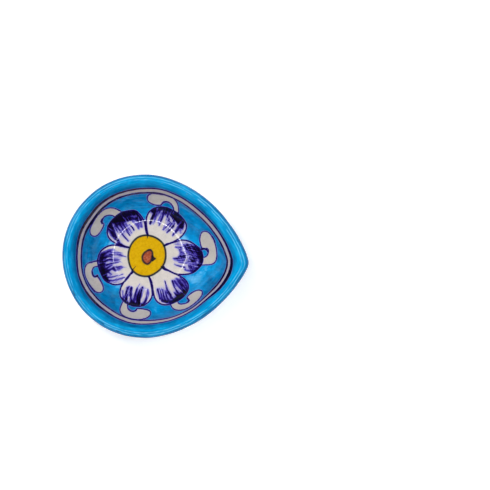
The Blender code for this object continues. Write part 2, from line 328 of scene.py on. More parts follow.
# Brush strokes in the petals. Each petal is laid out on its own page, 18 page steps to one unit
# of the drawing, turned 4 degrees: (x0, y0, x1, y1, x2, y2, width at the start, at the end,
# strength), y down the page. A negative strength lifts the colour off again.
PAGES = {"ul": (-47.92, 51.88), "ur": (-9.15, 56.59), "r": (9.97, 26.86), "lr": (-0.83, -4.98),
         "b": (-34.61, -9.34), "l": (-57.31, 14.13)}
PAGE_STROKES = {
    "ul": [(150, 400, 200, 300, 330, 200, 90, 130, 1.5), (260, 300, 400, 190, 640, 200, 130, 90, 1.5),
           (200, 400, 260, 470, 300, 560, 70, 40, 0.9), (300, 380, 400, 340, 560, 300, 110, 70, 0.9),
           (150, 480, 170, 590, 230, 680, 70, 40, 0.55), (170, 440, 200, 560, 255, 680, 60, 26, 1.3),
           (400, 380, 470, 450, 560, 560, 150, 60, 0.26), (330, 420, 400, 560, 500, 700, 90, 50, 0.20),
           (620, 260, 700, 320, 740, 440, 110, 70, 0.42), (650, 300, 672, 380, 690, 470, 26, 14, 0.5),
           (240, 600, 300, 700, 360, 790, 60, 60, 0.75), (330, 740, 400, 800, 520, 836, 40, 18, 1.3),
           (600, 200, 690, 220, 760, 330, 50, 30, 0.35),
           (165, 470, 190, 340, 330, 240, 80, 110, 1.45), (300, 280, 420, 230, 600, 215, 105, 66, 1.5),
           (590, 200, 680, 225, 745, 340, 50, 26, 1.2), (250, 330, 360, 300, 490, 290, 120, 110, 1.5),
           (180, 420, 190, 520, 240, 620, 76, 28, 1.3), (230, 470, 250, 600, 330, 720, 46, 30, 1.1),
           (285, 660, 340, 770, 440, 815, 46, 36, 0.85), (270, 400, 310, 470, 350, 520, 46, 18, 1.3),
           (335, 400, 390, 480, 430, 545, 38, 13, 1.2), (368, 556, 430, 630, 500, 710, 32, 14, 1.3),
           (400, 400, 450, 470, 530, 605, 38, 18, 1.3), (340, 590, 360, 640, 400, 690, 28, 12, 0.5),
           (460, 400, 500, 480, 560, 560, 28, 12, 0.9), (520, 420, 580, 460, 602, 512, 26, 22, 1.6),
           (500, 330, 580, 320, 680, 300, 56, 20, 1.1), (590, 360, 640, 400, 680, 490, 46, 20, 0.7),
           (655, 300, 710, 360, 745, 455, 56, 28, 0.55), (640, 380, 690, 420, 700, 500, 28, 16, 0.4),
           (560, 300, 640, 350, 700, 340, 30, 20, 0.8), (440, 480, 480, 540, 520, 600, 16, 10, 0.8),
           (220, 392, 248, 500, 330, 612, 12, 28, -0.85), (330, 604, 380, 690, 470, 762, 32, 18, -0.8),
           (146, 560, 160, 625, 232, 692, 12, 14, -0.75), (178, 570, 200, 620, 222, 652, 7, 7, -0.5),
           (372, 372, 420, 450, 462, 520, 6, 9, -0.6), (442, 372, 500, 470, 540, 550, 7, 9, -0.6),
           (312, 352, 345, 430, 385, 490, 6, 8, -0.55), (560, 300, 600, 340, 640, 380, 7, 8, -0.5),
           (500, 400, 540, 440, 560, 480, 7, 8, -0.5), (620, 400, 650, 450, 664, 500, 8, 10, -0.5)],
    "ur": [(240, 205, 400, 110, 580, 150, 60, 100, 1.5), (540, 160, 720, 220, 800, 400, 110, 90, 1.6),
           (460, 210, 540, 240, 600, 300, 80, 50, 0.9), (640, 260, 720, 360, 760, 480, 110, 70, 1.3),
           (310, 220, 290, 320, 250, 440, 70, 34, 0.34), (400, 200, 390, 300, 350, 420, 80, 40, 0.34),
           (520, 280, 500, 380, 450, 500, 70, 40, 0.32), (610, 380, 570, 470, 530, 560, 70, 36, 0.36),
           (700, 500, 660, 560, 610, 630, 60, 44, 0.5), (810, 400, 834, 480, 790, 590, 40, 50, 0.36),
           (280, 210, 250, 290, 190, 420, 56, 44, 1.2), (560, 470, 520, 520, 470, 560, 20, 14, 0.6),
           (272, 226, 230, 318, 195, 428, 38, 42, 1.4), (330, 208, 300, 278, 268, 390, 38, 14, 0.6),
           (370, 188, 340, 258, 298, 350, 28, 12, 0.9), (446, 208, 424, 320, 356, 462, 34, 22, 1.2),
           (400, 236, 370, 310, 328, 392, 20, 10, 0.6), (545, 432, 492, 476, 430, 540, 28, 28, 1.1),
           (606, 482, 560, 528, 498, 590, 34, 24, 1.3), (686, 545, 642, 590, 598, 650, 46, 28, 1.0),
           (480, 250, 520, 318, 542, 362, 56, 18, 1.3), (560, 235, 602, 318, 622, 392, 56, 28, 1.15),
           (290, 216, 420, 148, 560, 190, 28, 56, 1.4), (556, 196, 680, 256, 762, 392, 66, 84, 1.6),
           (645, 295, 700, 388, 742, 492, 104, 54, 1.55), (762, 398, 792, 458, 770, 520, 56, 28, 1.2),
           (700, 488, 742, 540, 742, 600, 46, 36, 0.6), (640, 428, 622, 458, 600, 490, 24, 18, 1.0),
           (500, 360, 540, 390, 590, 440, 20, 16, 0.9), (560, 250, 590, 300, 600, 350, 26, 16, -0.35),
           (400, 200, 372, 270, 340, 340, 7, 9, -0.6), (346, 210, 322, 270, 292, 350, 7, 9, -0.6),
           (470, 240, 456, 310, 430, 380, 8, 10, -0.55), (504, 224, 520, 280, 540, 330, 6, 8, -0.5),
           (805, 352, 834, 460, 800, 580, 12, 28, -0.75), (236, 250, 180, 340, 160, 460, 16, 22, -0.85),
           (640, 380, 660, 440, 650, 490, 8, 10, -0.5), (700, 470, 720, 500, 736, 540, 8, 8, -0.4)],
    "r": [(560, 270, 700, 280, 830, 420, 60, 90, 1.5), (810, 400, 850, 560, 720, 730, 80, 80, 1.4),
           (560, 330, 610, 350, 650, 400, 46, 60, 0.8), (430, 460, 480, 470, 530, 480, 24, 40, 0.6),
           (640, 480, 700, 560, 690, 680, 90, 80, 0.55),
           (560, 300, 600, 350, 650, 380, 80, 80, 1.2), (600, 420, 660, 520, 680, 700, 130, 110, 0.45),
           (430, 330, 450, 400, 440, 450, 40, 40, 0.5), (400, 470, 470, 470, 540, 460, 30, 50, 1.1),
           (310, 500, 430, 496, 540, 500, 14, 26, 1.0), (340, 530, 440, 550, 550, 560, 60, 70, 0.42),
           (330, 600, 430, 640, 540, 660, 20, 40, 0.4), (330, 240, 440, 262, 560, 230, 16, 24, 0.5),
           (340, 300, 420, 300, 500, 290, 30, 40, 0.4), (380, 220, 470, 200, 560, 210, 30, 40, 0.35),
           (520, 700, 600, 740, 680, 730, 40, 60, 0.5), (600, 640, 640, 700, 660, 760, 70, 60, 0.8),
           (560, 560, 600, 600, 620, 680, 60, 60, 0.3), (700, 340, 780, 430, 800, 560, 60, 70, 1.0),
           (640, 280, 760, 320, 812, 440, 36, 56, 1.5), (812, 430, 832, 560, 760, 662, 56, 50, 1.35),
          (760, 650, 722, 722, 660, 762, 56, 38, 1.15), (570, 520, 620, 540, 700, 520, 66, 70, 1.2),
          (560, 330, 600, 350, 655, 340, 58, 58, 1.8), (430, 462, 480, 470, 522, 450, 36, 40, 1.35),
          (426, 300, 438, 306, 448, 318, 18, 20, 1.3), (350, 290, 362, 300, 374, 312, 14, 16, 0.9),
          (690, 370, 730, 400, 770, 440, 56, 60, 1.4), (600, 430, 680, 460, 770, 520, 60, 90, 0.85),
          (300, 495, 400, 500, 520, 490, 12, 26, 0.85), (376, 530, 450, 540, 545, 540, 14, 36, 0.8),
          (400, 572, 460, 580, 545, 590, 12, 22, 0.9), (322, 600, 385, 646, 505, 660, 6, 22, 1.05),
          (516, 710, 580, 722, 640, 722, 8, 28, 0.6), (408, 330, 430, 400, 452, 442, 20, 38, 0.6),
          (600, 640, 640, 700, 706, 722, 50, 60, 0.85), (650, 560, 700, 600, 740, 640, 60, 60, 0.7),
          (470, 380, 500, 420, 540, 440, 30, 30, 0.6), (480, 270, 540, 270, 600, 300, 30, 30, 0.55),
          (390, 300, 420, 350, 430, 400, 20, 20, 0.4), (500, 330, 520, 380, 540, 420, 24, 24, 0.5),
          # painted highlight: both lifts on the next line stand in for the lights' reflection crossing the petal
          (560, 420, 556, 540, 548, 700, 10, 14, -0.55), (520, 622, 590, 622, 664, 590, 12, 10, -0.6),
          (596, 560, 620, 600, 640, 620, 8, 8, -0.4), (540, 500, 570, 480, 620, 470, 7, 7, -0.4),
          (620, 600, 680, 610, 730, 590, 8, 8, -0.4), (560, 690, 600, 690, 640, 690, 8, 8, -0.4),
          (660, 270, 720, 300, 760, 350, 8, 6, -0.4)],
    "lr": [(300, 664, 460, 776, 620, 716, 30, 60, 0.9), (580, 690, 720, 640, 800, 520, 84, 70, 1.25),
           (620, 610, 700, 570, 760, 480, 56, 50, 1.0), (270, 500, 290, 600, 330, 680, 60, 60, 0.18),
           (330, 480, 360, 600, 420, 700, 90, 90, 0.18), (400, 540, 440, 620, 500, 700, 60, 70, 0.25),
           (540, 360, 600, 480, 660, 600, 60, 110, 0.18), (600, 330, 680, 420, 760, 520, 110, 110, 0.22),
           (720, 330, 790, 400, 790, 500, 50, 50, 0.34), (390, 350, 400, 420, 430, 520, 14, 26, 1.0),
           (440, 560, 470, 580, 490, 600, 40, 30, 1.2), (520, 340, 540, 430, 600, 540, 22, 40, 0.8),
           (300, 658, 270, 578, 258, 496, 38, 22, 1.05), (340, 678, 310, 588, 318, 496, 28, 14, 0.9),
           (400, 698, 350, 608, 348, 506, 38, 18, 1.0), (450, 698, 410, 618, 400, 546, 38, 18, 1.1),
           (500, 658, 440, 538, 390, 352, 24, 7, 1.05), (450, 538, 466, 566, 482, 590, 18, 28, 1.2),
           (540, 678, 500, 618, 470, 588, 28, 14, 1.0), (330, 704, 470, 746, 620, 690, 36, 64, 1.0),
           (600, 680, 700, 628, 762, 538, 84, 84, 1.6), (762, 538, 722, 458, 640, 358, 56, 56, 1.15),
           (700, 508, 620, 438, 560, 348, 56, 28, 0.8), (622, 560, 560, 488, 518, 346, 26, 14, 1.15),
           (660, 298, 722, 358, 762, 428, 36, 28, 0.9), (600, 306, 652, 358, 702, 438, 28, 28, 1.0),
           (740, 338, 792, 408, 782, 498, 36, 28, 0.5), (600, 618, 560, 578, 530, 528, 18, 10, 0.5),
           (560, 560, 590, 600, 640, 640, 20, 40, 0.8), (250, 640, 230, 560, 240, 500, 14, 10, 0.4),
           (640, 420, 690, 480, 720, 540, 8, 10, -0.45), (570, 400, 610, 470, 660, 530, 7, 9, -0.5),
           (620, 330, 670, 390, 710, 440, 6, 8, -0.45), (700, 350, 750, 410, 770, 470, 8, 10, -0.5),
           (320, 680, 290, 600, 286, 520, 6, 8, -0.6), (372, 690, 332, 600, 334, 520, 6, 8, -0.6),
           (425, 690, 382, 610, 374, 540, 6, 8, -0.6), (470, 680, 440, 620, 424, 570, 6, 7, -0.5),
           (262, 690, 232, 640, 214, 560, 16, 20, -0.7), (300, 760, 262, 720, 240, 680, 14, 14, -0.5)],
    "b": [(310, 660, 290, 560, 320, 440, 44, 40, 0.7), (230, 490, 236, 560, 270, 640, 36, 40, 0.36),
           (410, 740, 366, 600, 400, 430, 60, 40, 0.8), (440, 700, 440, 560, 500, 430, 36, 20, 0.30),
           (530, 740, 486, 600, 590, 440, 90, 50, 1.0), (300, 690, 440, 780, 620, 770, 40, 50, 1.5),
           (430, 720, 500, 745, 590, 750, 60, 60, 1.2), (610, 740, 680, 640, 694, 480, 36, 36, 0.35),
           (560, 620, 620, 520, 640, 440, 40, 26, 0.30), (340, 560, 350, 500, 360, 430, 70, 60, 0.40),
           (460, 640, 470, 560, 500, 460, 60, 40, 0.40),
           (300, 640, 288, 540, 330, 430, 34, 28, 1.1), (420, 740, 366, 600, 390, 440, 40, 28, 1.25),
          (440, 720, 425, 560, 545, 366, 24, 9, 0.95), (530, 740, 476, 600, 602, 420, 58, 13, 1.5),
          (520, 700, 560, 560, 572, 496, 56, 26, 1.3), (600, 752, 690, 620, 692, 468, 34, 32, 0.95),
          (640, 702, 702, 600, 712, 520, 18, 12, 0.7), (250, 600, 232, 540, 250, 480, 20, 14, 0.35),
          (228, 620, 330, 742, 480, 772, 18, 38, 1.35), (400, 712, 480, 748, 602, 762, 56, 34, 1.2),
          (330, 700, 310, 620, 330, 540, 20, 14, 0.8), (350, 520, 352, 470, 350, 420, 14, 12, 0.6),
          (456, 640, 462, 560, 480, 500, 14, 8, 0.7), (640, 560, 660, 520, 662, 470, 10, 8, 0.4),
          (352, 690, 338, 600, 356, 480, 7, 9, -0.7), (448, 650, 436, 560, 462, 470, 8, 10, -0.7),
          (322, 640, 318, 560, 340, 470, 5, 6, -0.5), (404, 640, 396, 560, 412, 480, 5, 6, -0.5),
          (650, 680, 690, 590, 700, 510, 5, 6, -0.5), (560, 690, 606, 600, 640, 500, 14, 34, -0.7)],
    "l": [(240, 300, 190, 440, 260, 640, 60, 84, 1.12), (240, 600, 290, 720, 360, 770, 80, 50, 1.15),
           (230, 300, 300, 210, 450, 196, 60, 40, 0.6), (300, 330, 360, 290, 420, 300, 70, 50, 0.4),
           (420, 250, 500, 250, 560, 270, 120, 60, 0.20), (430, 350, 500, 350, 570, 360, 110, 60, 0.20),
           (330, 440, 420, 400, 520, 400, 80, 60, 0.25), (460, 530, 530, 530, 590, 520, 70, 60, 0.6),
           (460, 560, 510, 580, 560, 560, 50, 40, 0.5), (330, 560, 380, 540, 430, 520, 70, 50, 0.3),
           (400, 640, 480, 650, 580, 630, 70, 50, 0.16), (420, 760, 500, 770, 600, 740, 80, 60, 0.22),
           (300, 400, 360, 380, 420, 380, 40, 26, 0.4), (560, 300, 620, 300, 680, 330, 40, 20, 0.4),
           (250, 318, 214, 458, 290, 680, 56, 80, 1.1), (290, 408, 270, 508, 316, 660, 40, 50, 1.1),
          (248, 308, 320, 246, 402, 226, 46, 18, 1.0), (290, 348, 350, 308, 402, 328, 56, 28, 1.15),
          (310, 400, 370, 358, 432, 366, 34, 18, 0.85), (380, 298, 480, 288, 602, 308, 24, 12, 0.9),
          (400, 248, 500, 248, 612, 258, 22, 12, 0.5), (600, 308, 640, 316, 682, 330, 12, 9, 0.6),
          (330, 478, 420, 438, 542, 428, 38, 14, 1.0), (340, 528, 400, 488, 432, 478, 38, 18, 1.0),
          (450, 528, 520, 508, 592, 498, 46, 18, 0.7), (480, 568, 520, 568, 562, 546, 28, 14, 0.6),
          (610, 508, 640, 518, 682, 518, 18, 9, 0.6), (340, 598, 380, 558, 422, 546, 56, 28, 1.0),
          (350, 698, 450, 698, 622, 638, 24, 13, 1.0), (340, 748, 450, 768, 652, 698, 24, 13, 0.95),
          (500, 718, 560, 718, 622, 698, 18, 13, 0.5), (440, 788, 500, 798, 562, 788, 12, 18, 0.4),
          (420, 388, 500, 388, 562, 392, 56, 26, 0.38), (500, 388, 560, 398, 612, 438, 14, 13, 0.45),
          (460, 260, 520, 270, 580, 280, 30, 20, 0.4), (330, 560, 360, 620, 420, 640, 40, 14, 1.0),
          (270, 640, 310, 720, 380, 760, 40, 20, 1.2), (400, 340, 460, 350, 520, 350, 12, 10, 0.5),
          # painted highlight: the first, long upright lift on the next line stands in for the lights' reflection
          # crossing the petal
          (440, 208, 440, 358, 446, 508, 12, 9, -0.5), (330, 440, 380, 400, 430, 396, 7, 7, -0.6),
          (340, 500, 390, 462, 440, 452, 7, 7, -0.6), (346, 548, 390, 520, 440, 506, 7, 8, -0.6),
          (310, 380, 350, 340, 400, 344, 6, 6, -0.5), (360, 600, 400, 580, 440, 580, 7, 9, -0.5),
          (380, 728, 460, 738, 560, 710, 6, 8, -0.6), (384, 240, 390, 280, 392, 320, 7, 7, -0.4)],
}


def page_strokes():
    """The petals' strokes in units of the drawing."""
    across, down = 0.05542, 0.003875
    out = []
    for name, strokes in PAGE_STROKES.items():
        ox, oy = PAGES[name]
        for x0, y0, x1, y1, x2, y2, w0, w1, strength in strokes:
            spots = [(ox + across * x + down * y, oy + down * x - across * y) for x, y in ((x0, y0), (x1, y1), (x2, y2))]
            out.append((*spots[0], *spots[1], *spots[2], w0 * across, w1 * across, strength))
    return out


STROKES = page_strokes()
# lines gone over twice, between petals and in the crooks of the scrolls
LINES = [(-0.6, 38, -0.8, 30, 1.5, 22.4, 1.0, 2.2, 1.15), (10.6, -38, 9.6, -28, 5.6, -19, 1.6, 2.0, 1.15),
         (-20, -28, -15, -21.5, -10.6, -15.4, 1.0, 1.5, 1.1), (33, -15.2, 26, -12.4, 19.6, -9.4, 0.9, 1.4, 1.1),
         (27, 16, 23, 14.6, 19, 12.6, 1.3, 2.0, 1.15), (-27, 9.8, -21, 8.6, -16, 8, 2.2, 1.7, 1.15),
         (-44.6, 30.4, -46, 32.8, -43.2, 36.2, 2.0, 0.8, 1.25), (12.6, 52.4, 14.4, 56, 18.8, 56.2, 1.3, 0.9, 1.1),
         (18.6, 56.2, 23.2, 55.2, 25.4, 49.6, 0.9, 1.1, 0.9), (56.6, 11.6, 61, 13.4, 62.9, 8.8, 2.2, 0.9, 1.4),
         (45.2, -38.2, 48.8, -40.4, 45.4, -42.6, 1.4, 1.2, 1.3), (-13, -51.4, -9.8, -57, -4.2, -53.6, 0.6, 1.2, 0.9),
         (-51, -18.6, -50.2, -25.6, -45.8, -22.2, 1.2, 2.1, 1.3), (-46, -22.4, -42.4, -26.4, -39, -33, 1.4, 1.0, 1.0),
         (-53, -9.6, -48.6, -7.2, -44.6, -7.4, 1.2, 2.0, 1.1), (-54.4, -30.6, -51, -35.2, -47, -38.4, 0.9, 1.7, 1.15),
         (66, 25, 68, 22.4, 69.4, 19, 1.4, 1.2, 1.2), (3, 63.6, -1.8, 62.6, -1.4, 58.6, 1.2, 1.4, 1.0)]
# darker pools of cobalt where a line was started or ended: (x, y, radius, strength)
POOLS = [(19.4, -9.4, 2.3, 1.3), (19.2, 12.6, 1.5, 0.9), (1.6, 22.2, 1.7, 0.9), (-11.4, -15.6, 1.5, 1.0),
         (-16, 8, 1.3, 0.8), (67.4, 22.6, 1.2, 1.2), (68.6, 21, 1.0, 1.0), (66.2, 24.2, 1.0, 1.0), (59.4, 12.2, 1.3, 1.2),
         (61.6, 12.2, 1.2, 1.2), (57.6, 12.4, 1.0, 1.0), (62.7, 10, 1.0, 1.0), (13.8, 54.6, 1.2, 1.0),
         (-0.6, 61.4, 1.3, 1.0), (0.8, 62.4, 1.2, 0.8), (-45.2, 31.8, 1.3, 1.2), (-44.6, 33.2, 1.1, 0.9),
         (-48.4, -23.4, 1.2, 1.1), (-46.4, -22.6, 1.1, 1.0), (-49.4, -36, 1.4, 1.2), (-47.6, -37.4, 1.2, 1.1),
         (-45.8, -7.4, 1.4, 1.1), (-5.4, -54.4, 1.3, 1.1), (-7, -55.2, 1.1, 0.9), (7, -60.6, 1.2, 0.9),
         (3.4, -61.9, 1.1, 0.8), (46.6, -39.8, 1.3, 1.1), (47.8, -40.4, 0.9, 1.0), (45.2, -38.2, 1.0, 0.8),
         (-27.6, 10.6, 2.0, 0.9), (10.7, -34, 1.0, 0.8), (-1.6, 34.6, 1.1, 0.7), (-19, -27.6, 1.0, 0.6)]


def closed_curve(points, per=10):
    """A closed Catmull-Rom curve through the points."""
    p = np.asarray(points, float)
    n = len(p)
    t = np.linspace(0, 1, per, endpoint=False)[:, None]
    out = []
    for i in range(n):
        a, b, c, d = p[i - 1], p[i], p[(i + 1) % n], p[(i + 2) % n]
        out.append(0.5 * (2 * b + (c - a) * t + (2 * a - 5 * b + 4 * c - d) * t * t + (3 * b - a - 3 * c + d) * t ** 3))
    return np.concatenate(out)


def signed_distance(xy, points, reach, per=8):
    """Distance to a closed curve, negative inside, and no more than reach away from it."""
    loop = closed_curve(points, per)
    out = np.full(len(xy), float(reach))
    low, high = loop.min(0) - reach, loop.max(0) + reach
    near = np.all((xy > low) & (xy < high), axis=1)
    p = xy[near]
    best = np.full(len(p), 1e9)
    inside = np.zeros(len(p), bool)
    for a, b in zip(loop, np.roll(loop, -1, axis=0)):
        ab = b - a
        h = np.clip(((p - a) @ ab) / (ab @ ab), 0, 1)
        best = np.minimum(best, ((p - a - h[:, None] * ab) ** 2).sum(1))
        crosses = (a[1] > p[:, 1]) != (b[1] > p[:, 1])
        if crosses.any():
            x = a[0] + (p[:, 1] - a[1]) * (b[0] - a[0]) / (b[1] - a[1] + 1e-12)
            inside ^= crosses & (p[:, 0] < x)
    d = np.sqrt(best)
    out[near] = np.clip(np.where(inside, -d, d), -1e3, reach)
    return out


def stroke_density(xy, strokes, soft=0.55, fade=0.0):
    """How much cobalt the brush strokes leave, at each point."""
    total = np.zeros(len(xy))
    lift = np.zeros(len(xy))
    t = np.linspace(0, 1, 9)
    for x0, y0, x1, y1, x2, y2, w0, w1, strength in strokes:
        curve = np.stack([(1 - t) ** 2 * x0 + 2 * t * (1 - t) * x1 + t * t * x2,
                          (1 - t) ** 2 * y0 + 2 * t * (1 - t) * y1 + t * t * y2], 1)
        pad = max(w0, w1) / 2 + 1.6
        near = np.all((xy > curve.min(0) - pad) & (xy < curve.max(0) + pad), axis=1)
        p = xy[near]
        if not len(p):
            continue
        best = np.full(len(p), -1e9)
        reach = np.zeros(len(p))
        for k in range(len(curve) - 1):
            a, ab = curve[k], curve[k + 1] - curve[k]
            h = np.clip(((p - a) @ ab) / (ab @ ab + 1e-9), 0, 1)
            half = 0.5 * (w0 + (w1 - w0) * (k + h) / (len(curve) - 1))
            d = np.sqrt(((p - a - h[:, None] * ab) ** 2).sum(1))
            reach = np.where(half - d > best, (k + h) / (len(curve) - 1), reach)
            best = np.maximum(best, half - d)
        cover = np.clip(best / soft * 0.5 + 0.5, 0, 1)
        cover = cover * cover * (3 - 2 * cover)
        if strength > 0:
            cover = cover * (1.0 - fade * reach ** 2)      # the brush runs dry
            total[near] = np.maximum(total[near], 0) + (1 - 0.55 * np.clip(total[near], 0, 1)) * cover * strength * 0.9
        else:
            lift[near] = np.maximum(lift[near], cover * -strength)
    return np.clip(total * (1 - np.clip(lift, 0, 1)), 0, 1.6)


# soft washes of thinned cobalt under the strokes, with the same numbers as a stroke
WASHES = [
    (-35, 22, -36, 34, -26, 40, 6, 8, 0.8), (-24, 40, -14, 42, -7, 37, 6, 6, 0.7), (-26, 33, -22, 30, -18, 26, 7, 5, 0.45),
    (-12, 38, -9, 34, -8, 29, 6, 4, 0.45), (-31, 24, -28, 18, -26, 13, 5, 4, 0.4),
    (4, 44, 14, 48, 26, 45, 5, 7, 0.7), (28, 44, 35, 39, 36, 32, 7, 6, 0.75), (8, 42, 6, 39, 4, 36, 6, 4, 0.4),
    (16, 42, 14, 39, 12, 35, 6, 4, 0.35), (24, 40, 24, 36, 23, 33, 8, 5, 0.4), (33, 34, 33, 30, 31, 27, 6, 4, 0.4),
    (46, 14, 55, 7, 54, -6, 6, 9, 0.75), (40, 10, 44, 6, 46, 0, 9, 10, 0.6), (35, 8, 36, 4, 36, 1, 5, 5, 0.35),
    (38, -1, 42, -3, 47, -6, 5, 7, 0.45), (44, -11, 48, -10, 51, -7, 4, 5, 0.55),
    (18, -42, 30, -44, 41, -35, 5, 8, 0.7), (42, -34, 43, -28, 38, -21, 6, 6, 0.65), (24, -38, 20, -35, 17, -31, 8, 6, 0.45),
    (36, -30, 33, -26, 31, -22, 8, 5, 0.5), (30, -38, 27, -34, 25, -31, 6, 4, 0.35),
    (-18, -42, -8, -48, 3, -45, 5, 7, 0.7), (-15, -42, -14, -37, -13, -33, 8, 6, 0.45), (-5, -42, -5, -37, -4, -33, 6, 5, 0.4),
    (3, -42, 4, -37, 4, -33, 5, 4, 0.4),
    (-43, -2, -44, -12, -39, -22, 7, 8, 0.8), (-37, -2, -36, -10, -35, -18, 8, 8, 0.5), (-31, 2, -29, -2, -27, -8, 7, 7, 0.42),
    (-30, -10, -27, -12, -24, -13, 6, 5, 0.4), (-35, -24, -28, -25, -20, -22, 4, 3, 0.4), (-40, 2, -36, 4, -31, 4, 4, 3, 0.4),
]
# broad light and dark places in the turquoise wash: partly the wash's own unevenness, partly painted light and shade,
# the bright spots by the petals and on the lower right wall being painted highlights: (x, y, size, strength)
WASH_AND_SHEEN_TONES = [(58, -10, 12, 0.34), (54, -22, 11, 0.20), (42.6, -17.0, 2.6, 0.5), (46.4, -18.4, 4.0, 0.42), (50.6, -20.4, 4.6, 0.36), (56.0, -16.4, 5.0, 0.22), (60, -6, 6, 0.15), (38, 20.3, 3.6, 0.95), (44, 21, 5, 0.35),
         (-35, 11.4, 4.2, 0.9), (-41, 12, 5, 0.12), (-23.4, -31.6, 3.6, 0.8), (-28, -36, 6, 0.25), (-52, 14, 8, -0.25),
         (-24, 50, 9, -0.12), (-44, 22, 6, 0.1), (-54, -1, 9, -0.35), (48, 36, 10, -0.05), (68, -22, 7, -0.6),
         (72, 6, 6, -0.4), (18, -52, 8, 0.25), (-34, -44, 11, -0.45), (-34, 55, 7, 0.05), (14, 53, 6, -0.3),
         (50, 24, 5, -0.1), (54, 34, 8, 0.05), (-50, -34, 5, 0.1), (12, -50, 5, 0.3)]

# dark ink on the yellow disc and round its heart, with the same numbers as a stroke
TICKS = [(-11.6, -14.6, -9.8, -12.4, -8.2, -10.2, 1.1, 0.7, 1.1), (1.5, 22.4, 1.5, 20.8, 1.5, 18.8, 1.3, 0.8, 1.1),
         (19.6, -9.6, 18.4, -9.2, 17.2, -8.6, 2.6, 1.2, 1.2), (19.4, 12.8, 18.6, 12.2, 17.8, 11.8, 1.8, 1.0, 1.0),
         (7.6, 1.4, 8.6, -0.2, 10.6, -1.2, 1.4, 1.4, 1.2), (10.6, -1.2, 9.4, -2.4, 7.8, -3.6, 1.6, 1.2, 1.2),
         (8.0, 0.6, 8.4, -1.4, 8.0, -3.0, 2.4, 2.0, 1.2), (5.2, 7.4, 4.0, 7.6, 2.8, 7.0, 1.4, 1.2, 1.0),
         (3.6, -7.4, 3.0, -7.8, 2.2, -7.4, 1.2, 0.9, 0.8), (-3.2, -3.4, -2.6, -4.6, -1.6, -5.6, 0.8, 0.8, 0.5),
         (9.6, -18.2, 9.9, -19.6, 10.2, -21.6, 1.0, 0.8, 0.5)]

# small dark smudges where a wet brush touched the lip's outer edge
SMUDGES = [(-69.0, -38.7, -68.0, -41.0, -66.4, -43.4, 0.9, 1.4, 0.9), (-70.7, -35.2, -70.1, -36.5, -69.4, -37.7, 0.8, 0.8, 0.6),
           (-43.0, -65.8, -40.1, -67.8, -36.1, -69.8, 0.8, 1.6, 0.8), (-35.6, -68.6, -33.8, -70.0, -32.2, -70.7, 1.2, 0.8, 0.6),
           (-23.1, -75.8, -20.9, -76.2, -18.0, -76.8, 1.4, 0.9, 0.9), (-5.9, -78.6, -2.9, -78.7, -1.0, -78.9, 1.0, 0.8, 0.6),
           (3.9, -78.7, 5.9, -78.6, 8.8, -78.4, 0.8, 1.0, 0.5), (-19.3, -72.7, -17.8, -73.3, -16.2, -73.5, 1.4, 1.2, 0.4),
           (-77.6, 11.7, -78.0, 8.8, -78.4, 5.9, 0.7, 0.8, 0.4), (95.7, 3.9, 96.3, 1.0, 96.1, -2.0, 1.0, 1.6, 0.35),
           (87.9, -15.6, 88.9, -13.7, 89.9, -10.7, 1.0, 1.0, 0.35), (58.6, 54.7, 61.6, 51.8, 64.5, 48.9, 0.6, 0.6, 0.3)]

# painted highlight: places where the cobalt is broken into pale specks, standing in for the lights' reflection on the
# petals: (x, y, radius, share)
SHEEN_SPECKS = [(42, 8, 13, 0.85), (49, -3, 10, 0.75), (-28.6, 14.3, 6.0, 0.85), (29, 27, 6, 0.5), (-17, 33, 6, 0.35)]


# -------------------------------------------------------------- the members
SKIN_P = skin_points()
SKIN_N = grid_normals(SKIN_P)
JOIN = 0.00004                            # the luted joints are closed to a hair


def hidden(r, z, share=1.0):
    return station(r, z, share), None


def skin(a, b):
    return [(SKIN_P[k], SKIN_N[k]) for k in range(a, b)]


seam = N_BOWL_IN - 1
bowl = build(
    "painted_bowl",
    skin(0, N_BOWL_IN)
    + [hidden(SEAM_R + 0.0011, 0.0196), hidden(SEAM_R + 0.0020, 0.0187),
       hidden(RADIUS - LIP_FOOT_IN - 0.0012, 0.0187), hidden(RADIUS - LIP_FOOT_IN - 0.0006, 0.0183)]
    + skin(N_LIP - 1, N_ALL)
    + [hidden(0.0182, CORNER_Z, 0.0), hidden(0.0182, 0.0029, 0.0), hidden(0.0175, 0.0022, 0.0),
       hidden(0.0120, 0.0021, 0.0), hidden(0.0050, 0.0021, 0.0)],
    pole_top=(CENTRE_X, 0.0, float(SKIN_P[0][:, 2].mean())), pole_bottom=(CENTRE_X, 0.0, 0.0021),
)
lip = build(
    "rolled_lip",
    skin(seam, N_LIP)
    + [hidden(RADIUS - LIP_FOOT_IN - 0.0006, 0.0183 + JOIN), hidden(RADIUS - LIP_FOOT_IN - 0.0012, 0.0187 + JOIN),
       hidden(SEAM_R + 0.0020, 0.0187 + JOIN), hidden(SEAM_R + 0.0011, 0.0196 + JOIN)],
)


